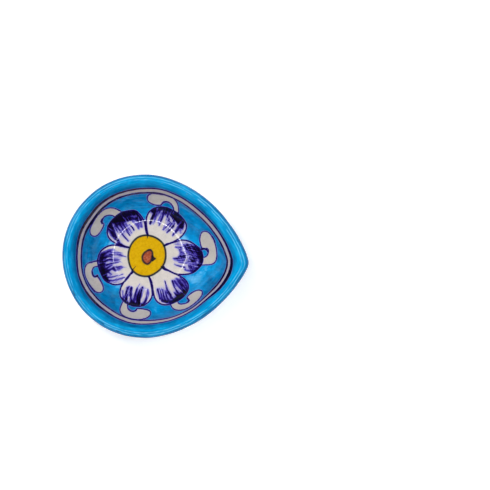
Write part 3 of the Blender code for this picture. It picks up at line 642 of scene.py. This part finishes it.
def foot_stations():
    """The turned foot: a ring with a rounded standing edge and a shallow waist."""
    top, inner, outer = CORNER_Z - JOIN, 0.0186, CORNER_R
    section = [(inner, top)]
    section += [(inner + 0.00003 * math.sin(k), top + (0.0007 - top) * k / 5) for k in range(1, 5)]
    for k in range(7):                                        # inner standing edge
        a = math.radians(180 + 90 * k / 6)
        section.append((inner + 0.0008 + 0.0008 * math.cos(a), 0.0008 + 0.0008 * math.sin(a)))
    section += [(inner + 0.0008 + (outer - inner - 0.0020) * k / 6, 0.0) for k in range(1, 6)]
    for k in range(7):                                        # outer standing edge
        a = math.radians(-90 + 90 * k / 6)
        section.append((outer - 0.0012 + 0.0009 * math.cos(a), 0.0009 + 0.0009 * math.sin(a)))
    for k in range(1, 9):                                     # waist
        t = k / 8
        section.append((outer - 0.0003 - 0.00045 * math.sin(math.pi * t) + 0.0003 * t, 0.0009 + (top - 0.0009) * t))
    loops = []
    for r, z in section:
        p = station(r, z, 0.0)
        wave = ramp01(0.0, 0.0006, z) * 0.00005
        n = soft_noise(p[:, 0], p[:, 1], p[:, 2], 0.011, 21)
        d = p[:, :2] - (CENTRE_X, 0)
        p[:, :2] += d / np.linalg.norm(d, axis=1)[:, None] * (wave * n)[:, None]
        loops.append(p)
    return loops


foot_loops = np.array(foot_stations())
foot_n = -grid_normals(foot_loops)
foot = build("turned_foot", [(p, n) for p, n in zip(foot_loops, foot_n)])


# ---------------------------------------------------------- drawing on vertices
def drawing_xy(co):
    """Where a point of the clay lies in the flat drawing, which was laid out looking straight
    down from the middle of the tray: what lies deeper in the bowl draws in a little."""
    depth = EDGE_Z - co[:, 2]
    s = VIEW_HEIGHT / (VIEW_HEIGHT + depth)
    x = VIEW_X + (co[:, 0] - VIEW_X) * s
    y = VIEW_Y + (co[:, 1] - VIEW_Y) * s
    return np.stack([(x - CENTRE_X) / UNIT - 0.45, y / UNIT + 0.6], 1)


def add_fields(obj, painted_rows):
    """Stores on each point how far it lies from every line and stroke of the drawing."""
    data = obj.data
    co = np.empty(len(data.vertices) * 3, np.float32)
    data.vertices.foreach_get("co", co)
    co = co.reshape(-1, 3).astype(float)
    xy = drawing_xy(co)
    theta = np.degrees(np.arctan2(xy[:, 1], xy[:, 0]))
    rel = np.hypot(co[:, 0] - CENTRE_X, co[:, 1]) / (RADIUS * (1.0 + swell(np.arctan2(co[:, 1], co[:, 0] - CENTRE_X))))
    upper = np.arange(len(co)) < painted_rows * ANGLES
    upper[ANGLES * (len(co) // ANGLES):][:1] = True          # the middle of the floor
    m = upper & (rel < 1.0 - 4.0 / 81.8)
    edge_in = np.where(upper | (co[:, 2] > EDGE_Z), (1.0 - rel) * 81.8, (co[:, 2] - EDGE_Z) / UNIT)

    def sd(keys, source, reach=4.0, per=8):
        out = np.full(len(co), reach)
        for k in keys:
            out[m] = np.minimum(out[m], signed_distance(xy[m], source[k], reach, per))
        return out

    even, odd = sd(("r", "ul", "b"), PETALS), sd(("ur", "l", "lr"), PETALS)
    hooks = sd(tuple(HOOKS), HOOKS)
    disc, dot = sd(("d",), {"d": DISC}), sd(("d",), {"d": DOT})
    ring = sd(("d",), {"d": RING}, 8.0, 4)
    strokes = np.zeros(len(co))
    strokes[m] = stroke_density(xy[m], STROKES, fade=0.18)
    # painted highlight: the cobalt broken into pale specks where the lights' reflection would cross the petals
    grain = soft_noise(xy[:, 0], xy[:, 1], co[:, 2] * 0, 1.9, 57) * 0.6 + soft_noise(xy[:, 0], xy[:, 1], co[:, 2] * 0, 1.1, 91) * 0.6
    for x, y, r, share in SHEEN_SPECKS:
        near = 1.0 - ramp01(r * 0.6, r, np.hypot(xy[:, 0] - x, xy[:, 1] - y))
        strokes = strokes * (1.0 - share * near * ramp01(-0.1, 0.45, grain))
    # each stroke also bleeds a thinner tone round itself, on top of the broad washes
    wiped = [s for s in STROKES if s[8] < 0]
    bleeding = [s[:6] + (s[6] * 1.1 + 2.4, s[7] * 1.0 + 2.0, s[8] * 0.62) for s in STROKES if s[8] > 0] + wiped
    wash, bleed = np.zeros(len(co)), np.zeros(len(co))
    wash[m] = stroke_density(xy[m], WASHES + wiped, soft=2.4)
    bleed[m] = stroke_density(xy[m], bleeding, soft=1.7)
    wash = 1.0 - (1.0 - np.clip(wash * 0.46, 0, 1)) * (1.0 - np.clip(bleed * 0.55, 0, 1))
    ticks = np.zeros(len(co))
    ticks[m] = stroke_density(xy[m], TICKS)
    edge = (co[:, 2] > 0.0195) & ~m
    ticks[edge] = stroke_density(xy[edge], SMUDGES, soft=0.8)
    pools = np.zeros(len(co))
    for x, y, r, s in POOLS:
        d = np.hypot(xy[:, 0] - x, xy[:, 1] - y)
        pools = np.maximum(pools, np.where(m, s * (1.0 - ramp01(r * 0.3, r, d)), 0.0))
    pools[m] = np.maximum(pools[m], stroke_density(xy[m], LINES, soft=0.5))
    w = np.array(RING_WIDTHS)
    a = np.concatenate([w[-2:, 0] - 360, w[:, 0], w[:2, 0] + 360])
    turn = np.where(theta < -20, theta + 360, theta)
    widths = [np.interp(turn, a, np.concatenate([w[-2:, c], w[:, c], w[:2, c]])) for c in (1, 2, 3)]
    # the wash's own tone mixed with painted light and shade, from the broad tones list
    tone_and_sheen = np.zeros(len(co))
    for x, y, r, s in WASH_AND_SHEEN_TONES:
        d = np.hypot(xy[:, 0] - x, xy[:, 1] - y)
        tone_and_sheen = tone_and_sheen + s * np.exp(-(d / r) ** 2)
    fields = {
        "shapes": (even, odd, hooks),
        "marks": (ring, disc, dot),
        "cobalt": (strokes, pools, wash),
        "widths": widths,
        "place": (edge_in, ticks, tone_and_sheen),
    }
    for name, parts in fields.items():
        layer = data.attributes.new(name, "FLOAT_VECTOR", "POINT")
        layer.data.foreach_set("vector", np.stack(parts, 1).astype(np.float32).ravel())


add_fields(bowl, N_BOWL_IN)
add_fields(lip, 1 + 20 + 10)


# ---------------------------------------------------------------- materials
class Value:
    """A socket that can be added, multiplied and compared, one Math node each time."""

    def __init__(self, tree, socket):
        self.tree, self.socket = tree, socket

    def _op(self, operation, other=None, third=None, swap=False):
        node = self.tree.nodes.new("ShaderNodeMath")
        node.operation = operation
        items = [self, other] if other is not None else [self]
        if swap:
            items.reverse()
        if third is not None:
            items.append(third)
        for i, item in enumerate(items):
            if isinstance(item, Value):
                self.tree.links.new(item.socket, node.inputs[i])
            else:
                node.inputs[i].default_value = float(item)
        return Value(self.tree, node.outputs[0])

    def __add__(self, o): return self._op("ADD", o)
    def __radd__(self, o): return self._op("ADD", o)
    def __sub__(self, o): return self._op("SUBTRACT", o)
    def __rsub__(self, o): return self._op("SUBTRACT", o, swap=True)
    def __mul__(self, o): return self._op("MULTIPLY", o)
    def __rmul__(self, o): return self._op("MULTIPLY", o)
    def __truediv__(self, o): return self._op("DIVIDE", o)
    def __neg__(self): return self._op("MULTIPLY", -1.0)
    def min(self, o): return self._op("MINIMUM", o)
    def max(self, o): return self._op("MAXIMUM", o)
    def abs(self): return self._op("ABSOLUTE")
    def sin(self): return self._op("SINE")
    def pow(self, o): return self._op("POWER", o)

    def step(self, low, high):
        """0 at low, 1 at high, smoothly between."""
        node = self.tree.nodes.new("ShaderNodeMapRange")
        node.interpolation_type = "SMOOTHSTEP"
        self.tree.links.new(self.socket, node.inputs["Value"])
        node.inputs["From Min"].default_value = min(low, high)
        node.inputs["From Max"].default_value = max(low, high)
        node.inputs["To Min"].default_value = 0.0 if high > low else 1.0
        node.inputs["To Max"].default_value = 1.0 if high > low else 0.0
        return Value(self.tree, node.outputs["Result"])


def srgb(r, g, b):
    def lin(v):
        v /= 255.0
        return v / 12.92 if v <= 0.04045 else ((v + 0.055) / 1.055) ** 2.4
    return (lin(r), lin(g), lin(b), 1.0)


class Paint:
    """Builds one material's node tree."""

    def __init__(self, name):
        self.material = bpy.data.materials.new(name)
        self.material.use_nodes = True
        self.tree = self.material.node_tree
        self.shader = self.tree.nodes["Principled BSDF"]
        self.coords = self.tree.nodes.new("ShaderNodeTexCoord").outputs["Object"]
        scaled = self.tree.nodes.new("ShaderNodeVectorMath")
        scaled.operation = "SCALE"
        self.tree.links.new(self.coords, scaled.inputs[0])
        scaled.inputs["Scale"].default_value = 1000.0          # millimetres
        self.mm = scaled.outputs[0]
        split = self.tree.nodes.new("ShaderNodeSeparateXYZ")
        self.tree.links.new(self.mm, split.inputs[0])
        self.x, self.y, self.z = (Value(self.tree, split.outputs[i]) for i in range(3))

    def field(self, name):
        node = self.tree.nodes.new("ShaderNodeAttribute")
        node.attribute_type = "GEOMETRY"
        node.attribute_name = name
        split = self.tree.nodes.new("ShaderNodeSeparateXYZ")
        self.tree.links.new(node.outputs["Vector"], split.inputs[0])
        return [Value(self.tree, split.outputs[i]) for i in range(3)]

    def vector(self, x, y, z):
        node = self.tree.nodes.new("ShaderNodeCombineXYZ")
        for i, item in enumerate((x, y, z)):
            if isinstance(item, Value):
                self.tree.links.new(item.socket, node.inputs[i])
            else:
                node.inputs[i].default_value = float(item)
        return node.outputs[0]

    def noise(self, scale, detail=2.0, rough=0.5, distort=0.0, at=None, shift=(0, 0, 0)):
        node = self.tree.nodes.new("ShaderNodeTexNoise")
        node.noise_dimensions = "3D"
        source = at if at is not None else self.mm
        if shift != (0, 0, 0):
            moved = self.tree.nodes.new("ShaderNodeVectorMath")
            moved.operation = "ADD"
            self.tree.links.new(source, moved.inputs[0])
            moved.inputs[1].default_value = shift
            source = moved.outputs[0]
        self.tree.links.new(source, node.inputs["Vector"])
        node.inputs["Scale"].default_value = scale
        node.inputs["Detail"].default_value = detail
        node.inputs["Roughness"].default_value = rough
        node.inputs["Distortion"].default_value = distort
        return Value(self.tree, node.outputs["Fac"])

    def specks(self, scale, share, size, at=None):
        """Small round specks: a share of the cells holds one."""
        node = self.tree.nodes.new("ShaderNodeTexVoronoi")
        node.feature = "F1"
        self.tree.links.new(at if at is not None else self.mm, node.inputs["Vector"])
        node.inputs["Scale"].default_value = scale
        split = self.tree.nodes.new("ShaderNodeSeparateColor")
        self.tree.links.new(node.outputs["Color"], split.inputs[0])
        chosen = Value(self.tree, split.outputs[0]).step(share + 0.001, share)
        radius = Value(self.tree, split.outputs[1]) * (size * 0.7) + size * 0.4
        distance = Value(self.tree, node.outputs["Distance"])
        return chosen * (radius - distance).step(0.0, size * 0.5)

    def mix(self, a, b, amount):
        node = self.tree.nodes.new("ShaderNodeMix")
        node.data_type = "RGBA"
        node.clamp_factor = True
        if isinstance(amount, Value):
            self.tree.links.new(amount.socket, node.inputs[0])
        else:
            node.inputs[0].default_value = float(amount)
        for socket, item in ((node.inputs[6], a), (node.inputs[7], b)):
            if isinstance(item, tuple):
                socket.default_value = item
            else:
                self.tree.links.new(item, socket)
        return node.outputs[2]

    def ramp(self, value, stops):
        node = self.tree.nodes.new("ShaderNodeValToRGB")
        self.tree.links.new(value.socket, node.inputs[0])
        ramp = node.color_ramp
        ramp.elements[0].position, ramp.elements[0].color = stops[0]
        ramp.elements[1].position, ramp.elements[1].color = stops[-1]
        for position, colour in stops[1:-1]:
            ramp.elements.new(position).color = colour
        return node.outputs[0]

    def bump(self, height, distance, strength=1.0, over=None):
        node = self.tree.nodes.new("ShaderNodeBump")
        node.inputs["Strength"].default_value = strength
        node.inputs["Distance"].default_value = distance
        self.tree.links.new(height.socket, node.inputs["Height"])
        if over is not None:
            self.tree.links.new(over, node.inputs["Normal"])
        return node.outputs[0]


def glaze_turquoise(p, lip_in):
    """The turquoise glaze's colour: bright on the crest and dark down both its flanks, partly thinner and thicker glaze
    and partly painted light and shade, a lit crest and shaded flanks.
    """
    cx = CENTRE_X * 1000.0
    dx, dy = p.x - cx, p.y
    radius = (dx * dx + dy * dy).pow(0.5).max(0.01)
    # streaks that follow the brush round the lamp: slow along it, quick across it
    around = p.vector(dx / radius * 4.0, dy / radius * 4.0, lip_in * 0.42)
    streak = p.noise(1.0, 4.0, 0.62, 0.12, at=around)
    streak2 = p.noise(2.4, 3.0, 0.6, 0.1, at=around, shift=(7, 3, 1))
    cloud = p.noise(0.085, 4.0, 0.55, 0.8)
    cloud2 = p.noise(0.23, 3.0, 0.6, 0.6, shift=(31, 5, 9))
    # partly glaze thickness, partly painted light and shade: 1 on the lit top of the roll, 0 at the outer edge and down
    # the inner slope, where the deep colour stands for shade
    crest = (lip_in + (cloud - 0.5) * 1.8).step(1.3, 3.2) * (lip_in + (cloud2 - 0.5) * 4.0).step(12.5, 8.0)
    tone = (streak - 0.5) * 1.5 + (streak2 - 0.5) * 0.9 + (cloud - 0.5) * 0.7
    bright = p.ramp((tone * 0.8 + 0.5), [(0.12, srgb(0, 116, 174)), (0.40, srgb(0, 137, 199)),
                                         (0.58, srgb(0, 153, 214)), (0.90, srgb(34, 182, 234))])
    deep = p.ramp(((cloud - 0.5) * 1.2 + (streak - 0.5) * 1.2 + (streak2 - 0.5) * 0.5 + 0.5),
                  [(0.1, srgb(0, 78, 132)), (0.5, srgb(0, 112, 172)), (0.9, srgb(8, 140, 204))])
    lip_colour = p.mix(deep, bright, crest)
    # painted highlight: two thin light lines along the crest stand in for the ring light's reflection on the lip
    above = p.z.step(20.8, 21.9)
    drift = p.noise(0.16, 2.0, 0.5, 0.2, shift=(2, 17, 6))
    drift2 = p.noise(0.10, 2.0, 0.5, 0.2, shift=(19, 4, 3))
    fine = streak2.step(0.36, 0.60) * 0.55 + 0.45
    painted_glint = (lip_in - 3.3 - (drift - 0.5) * 1.2).abs().step(0.62, 0.16) * drift2.step(0.30, 0.50)
    painted_glint2 = (lip_in - 5.5 - (drift2 - 0.5) * 1.4).abs().step(0.60, 0.14) * drift.step(0.32, 0.54)
    lip_colour = p.mix(lip_colour, srgb(118, 208, 244), painted_glint.max(painted_glint2 * 0.85) * fine * above * 0.70)
    # painted shade: darker along the lip's outer edge, where the roll turns down away from the light
    lip_colour = p.mix(lip_colour, srgb(0, 112, 170), (lip_in + (drift - 0.5) * 1.6).step(2.3, 0.8) * above * 0.7)
    # down the outer wall the brush left lighter, streaky patches
    lip_colour = p.mix(lip_colour, bright, p.z.step(21.4, 20.2) * ((cloud - 0.5) * 1.2 + (streak - 0.5) * 1.6 + 0.5).step(0.30, 0.75) * 0.7)
    return lip_colour, streak, streak2, cloud, cloud2, radius, dx, dy


def painted_glaze(name, coat_ior):
    p = Paint(name)
    even, odd, hooks = p.field("shapes")
    ring, disc, dot = p.field("marks")
    strokes, pools, wash = p.field("cobalt")
    w_band, w_in, w_out = p.field("widths")
    lip_in, ticks, tone_and_sheen = p.field("place")
    lip_colour, streak, streak2, cloud, cloud2, radius, dx, dy = glaze_turquoise(p, lip_in)

    # the brush's own wobble, in drawing units
    wob = (p.noise(0.55, 3.0, 0.6) - 0.5) * 0.9
    wob2 = (p.noise(1.7, 2.0, 0.6, shift=(3, 8, 2)) - 0.5) * 0.5
    even, odd, hooks, disc = even + wob2, odd + wob2, hooks + wob2, disc + wob2 * 0.6
    dot = dot + wob2 * 0.6
    ring_d = ring + wob * 0.35

    # the field inside the ring: washed turquoise, brushed on in patches
    patch = p.noise(0.12, 4.0, 0.6, 1.1, shift=(11, 2, 5))
    hair = p.noise(1.0, 4.0, 0.65, 0.4, at=p.vector(dx * 0.35 + dy * 0.12, dy * 0.75 - dx * 0.1, 2.0))
    tone = (patch - 0.5) * 1.3 + (hair - 0.5) * 1.0 + (streak - 0.5) * 0.9 + tone_and_sheen * 0.6
    field = p.ramp(tone * 0.75 + 0.5, [(0.08, srgb(0, 94, 148)), (0.36, srgb(0, 119, 182)),
                                       (0.55, srgb(0, 138, 204)), (0.78, srgb(4, 158, 226)),
                                       (1.0, srgb(44, 178, 238))])
    haze = (p.noise(0.20, 4.0, 0.6, 0.9, shift=(4, 21, 8)).step(0.46, 0.78)) * 0.40
    field = p.mix(field, srgb(56, 146, 190), haze)

    # painted highlight: pale cyan patches where the broad tones run high, standing in for the lights' reflection in the
    # bowl's curve
    field = p.mix(field, srgb(138, 205, 240), (tone_and_sheen + (patch - 0.5) * 1.5 + (hair - 0.5) * 0.7).step(0.40, 1.05) * 0.55)

    # painted shade: the turquoise darkens just inside and outside the ring lines, where the steep wall meets the lip
    field = p.mix(field, srgb(10, 86, 150), (ring + 5.0).step(-2.5, 2.5) * 0.30)
    on_lip = ring.step(1.2, 2.4)
    base = p.mix(field, lip_colour, on_lip)

    # off-white of the ring, the scrolls and the petals, with the body's fine grain
    grain = p.noise(2.2, 3.0, 0.7, shift=(1, 1, 9))
    grain2 = p.noise(0.4, 3.0, 0.6, shift=(9, 4, 1))
    chalk = p.ramp((grain - 0.5) * 0.8 + (grain2 - 0.5) * 0.9 + 0.5,
                   [(0.1, srgb(176, 169, 162)), (0.5, srgb(194, 187, 180)), (0.9, srgb(207, 200, 192))])
    band = (ring_d.abs() - w_band).step(0.40, -0.30)
    base = p.mix(base, p.mix(chalk, srgb(176, 168, 172), 0.55), band * 0.95)
    base = p.mix(base, chalk, hooks.step(0.40, -0.35) * 0.97)
    petal_d = even.min(odd)
    petal = petal_d.step(0.35, -0.35)
    petal_white = p.ramp((grain - 0.5) * 1.1 + (grain2 - 0.5) * 0.7 + 0.5,
                         [(0.1, srgb(190, 183, 177)), (0.5, srgb(209, 202, 195)), (0.9, srgb(222, 215, 207))])
    base = p.mix(base, petal_white, petal)

    # cobalt: outlines, brush strokes in the petals, pools where the brush rested
    flow = p.noise(0.9, 3.0, 0.6, shift=(5, 5, 5))
    width = (flow - 0.5) * 0.55
    from_middle = ((p.x - (CENTRE_X * 1000.0 + 1.2)), (p.y - 0.4))
    fr = (from_middle[0] * from_middle[0] + from_middle[1] * from_middle[1]).pow(0.5).max(0.01)
    bristles = p.noise(1.0, 3.0, 0.7, 0.25, at=p.vector(from_middle[0] / fr * 26.0, from_middle[1] / fr * 26.0, fr * 0.22))
    bristles2 = p.noise(1.0, 2.0, 0.6, 0.2, at=p.vector(from_middle[0] / fr * 60.0, from_middle[1] / fr * 60.0, fr * 0.35))
    bristle = (bristles - 0.5) * 1.0 + (bristles2 - 0.5) * 0.7
    hairs = p.noise(1.0, 2.0, 0.5, 0.15, at=p.vector(from_middle[0] / fr * 40.0, from_middle[1] / fr * 40.0, fr * 0.16),
                    shift=(3, 9, 4))
    lifted = hairs.step(0.56, 0.68) * wash.step(0.05, 0.4) * 0.55
    tone = wash * (bristle * 1.3 + 0.92)
    fill = (strokes * (bristle * 0.45 + 0.84) + tone * 0.72)
    load = p.noise(0.42, 2.0, 0.5, 0.3, shift=(14, 2, 8))
    fill = (fill * (1.0 - lifted) * petal * ((load - 0.5) * 1.0 + 0.94)).max(0.0)
    edge = (even.abs().min(odd.abs()) - 0.70 - width).step(0.55, -0.45) * (flow * 0.8 + 0.86)
    scroll = (hooks.abs() - 0.54 - width).step(0.55, -0.45) * (1.0 - petal) * (flow * 0.8 + 0.74)
    line_in = ((ring_d + w_band + w_in * 0.5).abs() - w_in * 0.5 - width * 0.5).step(0.50, -0.35)
    line_out = ((ring_d - w_band - w_out * 0.5).abs() - w_out * 0.5 - width * 0.5).step(0.50, -0.35)
    rings = (line_in.max(line_out)) * ((w_in + w_out) * 0.26 + 0.66) * (flow * 0.5 + 0.75)
    density = fill.max(edge).max(scroll).max(rings).max(pools * 1.22)
    cobalt = p.ramp(density * 0.5, [(0.0, srgb(156, 154, 214)), (0.16, srgb(132, 130, 208)), (0.29, srgb(96, 88, 186)),
                                    (0.42, srgb(54, 40, 142)), (0.55, srgb(28, 12, 96)), (0.74, srgb(13, 2, 52)),
                                    (1.0, srgb(5, 1, 22))])
    colour = p.mix(base, cobalt, density.step(0.0, 0.55))

    # the flower's middle: yellow disc with a dark outline, brown heart
    mottle = p.noise(0.8, 4.0, 0.6, 0.5, shift=(2, 6, 4))
    yellow = p.ramp(mottle, [(0.25, srgb(194, 147, 5)), (0.5, srgb(211, 165, 9)), (0.75, srgb(218, 176, 22))])
    colour = p.mix(colour, yellow, disc.step(0.35, -0.35))
    olive = p.mix(srgb(20, 34, 48), srgb(62, 80, 50), (p.noise(0.35, 2.0, 0.5, shift=(8, 8, 1))).step(0.52, 0.75) * 0.5)
    colour = p.mix(colour, olive, (disc.abs() - 0.98 - width * 0.7).step(0.55, -0.45) * 0.97)
    brown = p.mix(srgb(150, 68, 42), srgb(186, 104, 74), mottle.step(0.4, 0.7))
    colour = p.mix(colour, brown, dot.step(0.30, -0.35))
    colour = p.mix(colour, srgb(32, 38, 46), (dot.abs() - 0.92 - width * 0.6).step(0.60, -0.45) * 0.94)
    ink = p.mix(srgb(16, 22, 40), srgb(12, 50, 110), lip_in.step(8.0, 4.0))
    colour = p.mix(colour, ink, ticks.step(0.15, 0.85) * 0.96)

    # firing specks and a few pinholes
    speck = p.specks(0.42, 0.10, 0.10) * (1.0 - petal)
    colour = p.mix(colour, srgb(8, 44, 78), speck * 0.75)

    p.tree.links.new(colour, p.shader.inputs["Base Color"])
    rough = p.ramp((cloud2 * 0.6 + streak2 * 0.4), [(0.2, (0.20,) * 3 + (1,)), (0.8, (0.34,) * 3 + (1,))])
    p.tree.links.new(rough, p.shader.inputs["Roughness"])
    # the glaze lies in slow waves with a fine orange-peel, and stands a hair proud on the paint
    swellings = p.noise(0.16, 2.0, 0.5, 0.3, shift=(3, 3, 3))
    peel = p.noise(0.85, 3.0, 0.55, shift=(6, 1, 2))
    normal = p.bump(swellings, 0.00007, 0.5)
    normal = p.bump(peel, 0.000014, 0.5, over=normal)
    normal = p.bump(density.min(1.0) + hooks.step(0.4, -0.35) * 0.5, 0.000016, 0.5, over=normal)
    normal = p.bump(streak * 0.7 + streak2 * 0.3, 0.000016, 0.5, over=normal)
    p.tree.links.new(normal, p.shader.inputs["Normal"])
    p.tree.links.new(normal, p.shader.inputs["Coat Normal"])
    gloss(p, coat_ior)
    return p.material


def gloss(p, coat_ior):
    p.shader.inputs["Metallic"].default_value = 0.0
    p.shader.inputs["IOR"].default_value = 1.5
    p.shader.inputs["Specular IOR Level"].default_value = 0.0
    p.shader.inputs["Coat Weight"].default_value = 1.0 if coat_ior > 1.4 else 0.62   # the lip is a little less bright
    p.shader.inputs["Coat Roughness"].default_value = 0.035
    p.shader.inputs["Coat IOR"].default_value = coat_ior


def bare_clay(name):
    """The unglazed quartz body of the foot, with turning marks and the glaze's ragged lower edge."""
    p = Paint(name)
    cx = CENTRE_X * 1000.0
    dx, dy = p.x - cx, p.y
    radius = (dx * dx + dy * dy).pow(0.5).max(0.01)
    grit = p.noise(3.2, 4.0, 0.7)
    stain = p.noise(0.22, 3.0, 0.6, 0.6, shift=(4, 2, 1))
    clay = p.ramp((grit - 0.5) * 0.9 + (stain - 0.5) * 0.8 + 0.5,
                  [(0.1, srgb(176, 160, 136)), (0.5, srgb(204, 190, 168)), (0.9, srgb(222, 212, 194))])
    dirt = p.specks(1.3, 0.16, 0.16)
    clay = p.mix(clay, srgb(120, 98, 76), dirt * 0.7)
    edge = p.noise(0.30, 3.0, 0.6, 0.4, shift=(9, 9, 2))
    line = p.z - (edge - 0.5) * 3.2 - 1.9
    outside = radius.step(21.2, 21.8)
    covered = line.step(-0.10, 0.16) * outside
    glaze = p.ramp(stain, [(0.3, srgb(0, 96, 152)), (0.6, srgb(6, 130, 190)), (0.8, srgb(30, 156, 212))])
    rim = line.step(-0.5, -0.05) * outside * 0.5
    clay = p.mix(clay, srgb(132, 176, 190), rim)
    p.tree.links.new(p.mix(clay, glaze, covered), p.shader.inputs["Base Color"])
    rough = p.mix((0.82, 0.82, 0.82, 1.0), (0.22, 0.22, 0.22, 1.0), covered)
    p.tree.links.new(rough, p.shader.inputs["Roughness"])
    p.tree.links.new((covered * 0.9).socket, p.shader.inputs["Coat Weight"])
    p.shader.inputs["Coat Roughness"].default_value = 0.06
    turning = (radius * 9.0 + grit * 2.0).sin() * 0.5 + 0.5
    normal = p.bump(turning, 0.00005, 0.5)
    normal = p.bump(grit * (1.0 - covered * 0.9), 0.00012, 0.8, over=normal)
    p.tree.links.new(normal, p.shader.inputs["Normal"])
    return p.material


bowl.data.materials.append(painted_glaze("hand_painted_glaze", 1.45))
lip.data.materials.append(painted_glaze("turquoise_glaze_lip", 1.31))
foot.data.materials.append(bare_clay("bare_quartz_body"))

for piece, node, slot in ((bowl, "bowl_shell", "painted_glaze"), (lip, "rim_lip", "turquoise_glaze"),
                          (foot, "foot_ring", "bare_body")):
    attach(piece, "root")
    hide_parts(node)


# ------------------------------------------------------------------- staging
def make_floor():
    import bmesh
    mesh = bmesh.new()
    size = 3.0
    corners = [mesh.verts.new((x, y, -0.00005)) for x, y in ((-size, -size), (size, -size), (size, size), (-size, size))]
    mesh.faces.new(corners)
    data = bpy.data.meshes.new("pale_floor")
    mesh.to_mesh(data)
    mesh.free()
    obj = bpy.data.objects.new("pale_floor", data)
    bpy.context.scene.collection.objects.link(obj)
    p = Paint("pale_floor")
    fine = p.noise(0.02, 3.0, 0.5)
    p.tree.links.new(p.ramp(fine, [(0.3, (0.95, 0.95, 0.95, 1)), (0.7, (0.96, 0.96, 0.96, 1))]), p.shader.inputs["Base Color"])
    p.shader.inputs["Roughness"].default_value = 0.9
    p.shader.inputs["Specular IOR Level"].default_value = 0.1
    p.shader.inputs["Emission Color"].default_value = (1.0, 1.0, 1.0, 1.0)
    p.shader.inputs["Emission Strength"].default_value = 0.29
    data.materials.append(p.material)


make_floor()

TARGET = Vector((CENTRE_X, 0.0, 0.015))


def softbox(name, azimuth, elevation, distance, width, height, power, colour=(1, 1, 1), roll=0.0):
    """An area light that looks at the lamp; azimuth is counted from +X, elevation from the floor."""
    a, e = math.radians(azimuth), math.radians(elevation)
    place = TARGET + distance * Vector((math.cos(e) * math.cos(a), math.cos(e) * math.sin(a), math.sin(e)))
    light = bpy.data.lights.new(name, "AREA")
    light.shape = "RECTANGLE"
    light.size, light.size_y = width, height
    light.energy = power
    light.color = colour
    obj = bpy.data.objects.new(name, light)
    obj.location = place
    obj.rotation_euler = (TARGET - place).to_track_quat("-Z", "Y").to_euler()
    obj.rotation_euler.rotate_axis("Z", math.radians(roll))
    obj.visible_glossy = False                # polarised across: it lights without a reflection
    bpy.context.scene.collection.objects.link(obj)
    return obj


softbox("key_softbox", 130, 55, 1.1, 0.36, 0.30, 3.8)
softbox("fill_softbox", 20, 55, 1.2, 0.36, 0.30, 3.0)
softbox("top_softbox", 90, 88, 1.3, 0.60, 0.60, 2.9)

world = bpy.data.worlds.new("studio")
world.use_nodes = True
wt = world.node_tree
background = wt.nodes["Background"]
direction = wt.nodes.new("ShaderNodeTexCoord")
split = wt.nodes.new("ShaderNodeSeparateXYZ")
wt.links.new(direction.outputs["Generated"], split.inputs[0])
dir_x, dir_y, dir_z = (Value(wt, split.outputs[k]) for k in range(3))
# a dim ceiling, a bright ring light some 25 degrees off the camera, a pale backdrop low down
backdrop = dir_z.step(0.36, 0.10) * 0.66 + dir_z.step(0.97, 0.75) * 0.03 + 0.04
ring_dot = dir_x * -0.1844 + dir_y * -0.0776 + dir_z * 0.9798
ring_light = ((ring_dot - 0.8940).abs()).step(0.0088, 0.0030) * (dir_y * -1.1 + 1.0).max(0.0) * 20.0
total = backdrop + ring_light
wt.links.new(total.socket, background.inputs["Strength"])
background.inputs["Color"].default_value = (1.0, 0.99, 0.98, 1.0)
bpy.context.scene.world = world

camera_data = bpy.data.cameras.new("photo_camera")
camera_data.lens = 100.0
camera_data.sensor_width = 36.0
camera_data.clip_start = 0.01
camera = bpy.data.objects.new("photo_camera", camera_data)
camera.location = (VIEW_X, VIEW_Y, EDGE_Z + VIEW_HEIGHT)
camera.rotation_euler = (0.0, 0.0, math.radians(4.0))
bpy.context.scene.collection.objects.link(camera)
bpy.context.scene.camera = camera
bpy.context.scene.view_settings.view_transform = "Standard"
bpy.context.scene.view_settings.look = "None"
bpy.context.scene.view_settings.exposure = 0.0
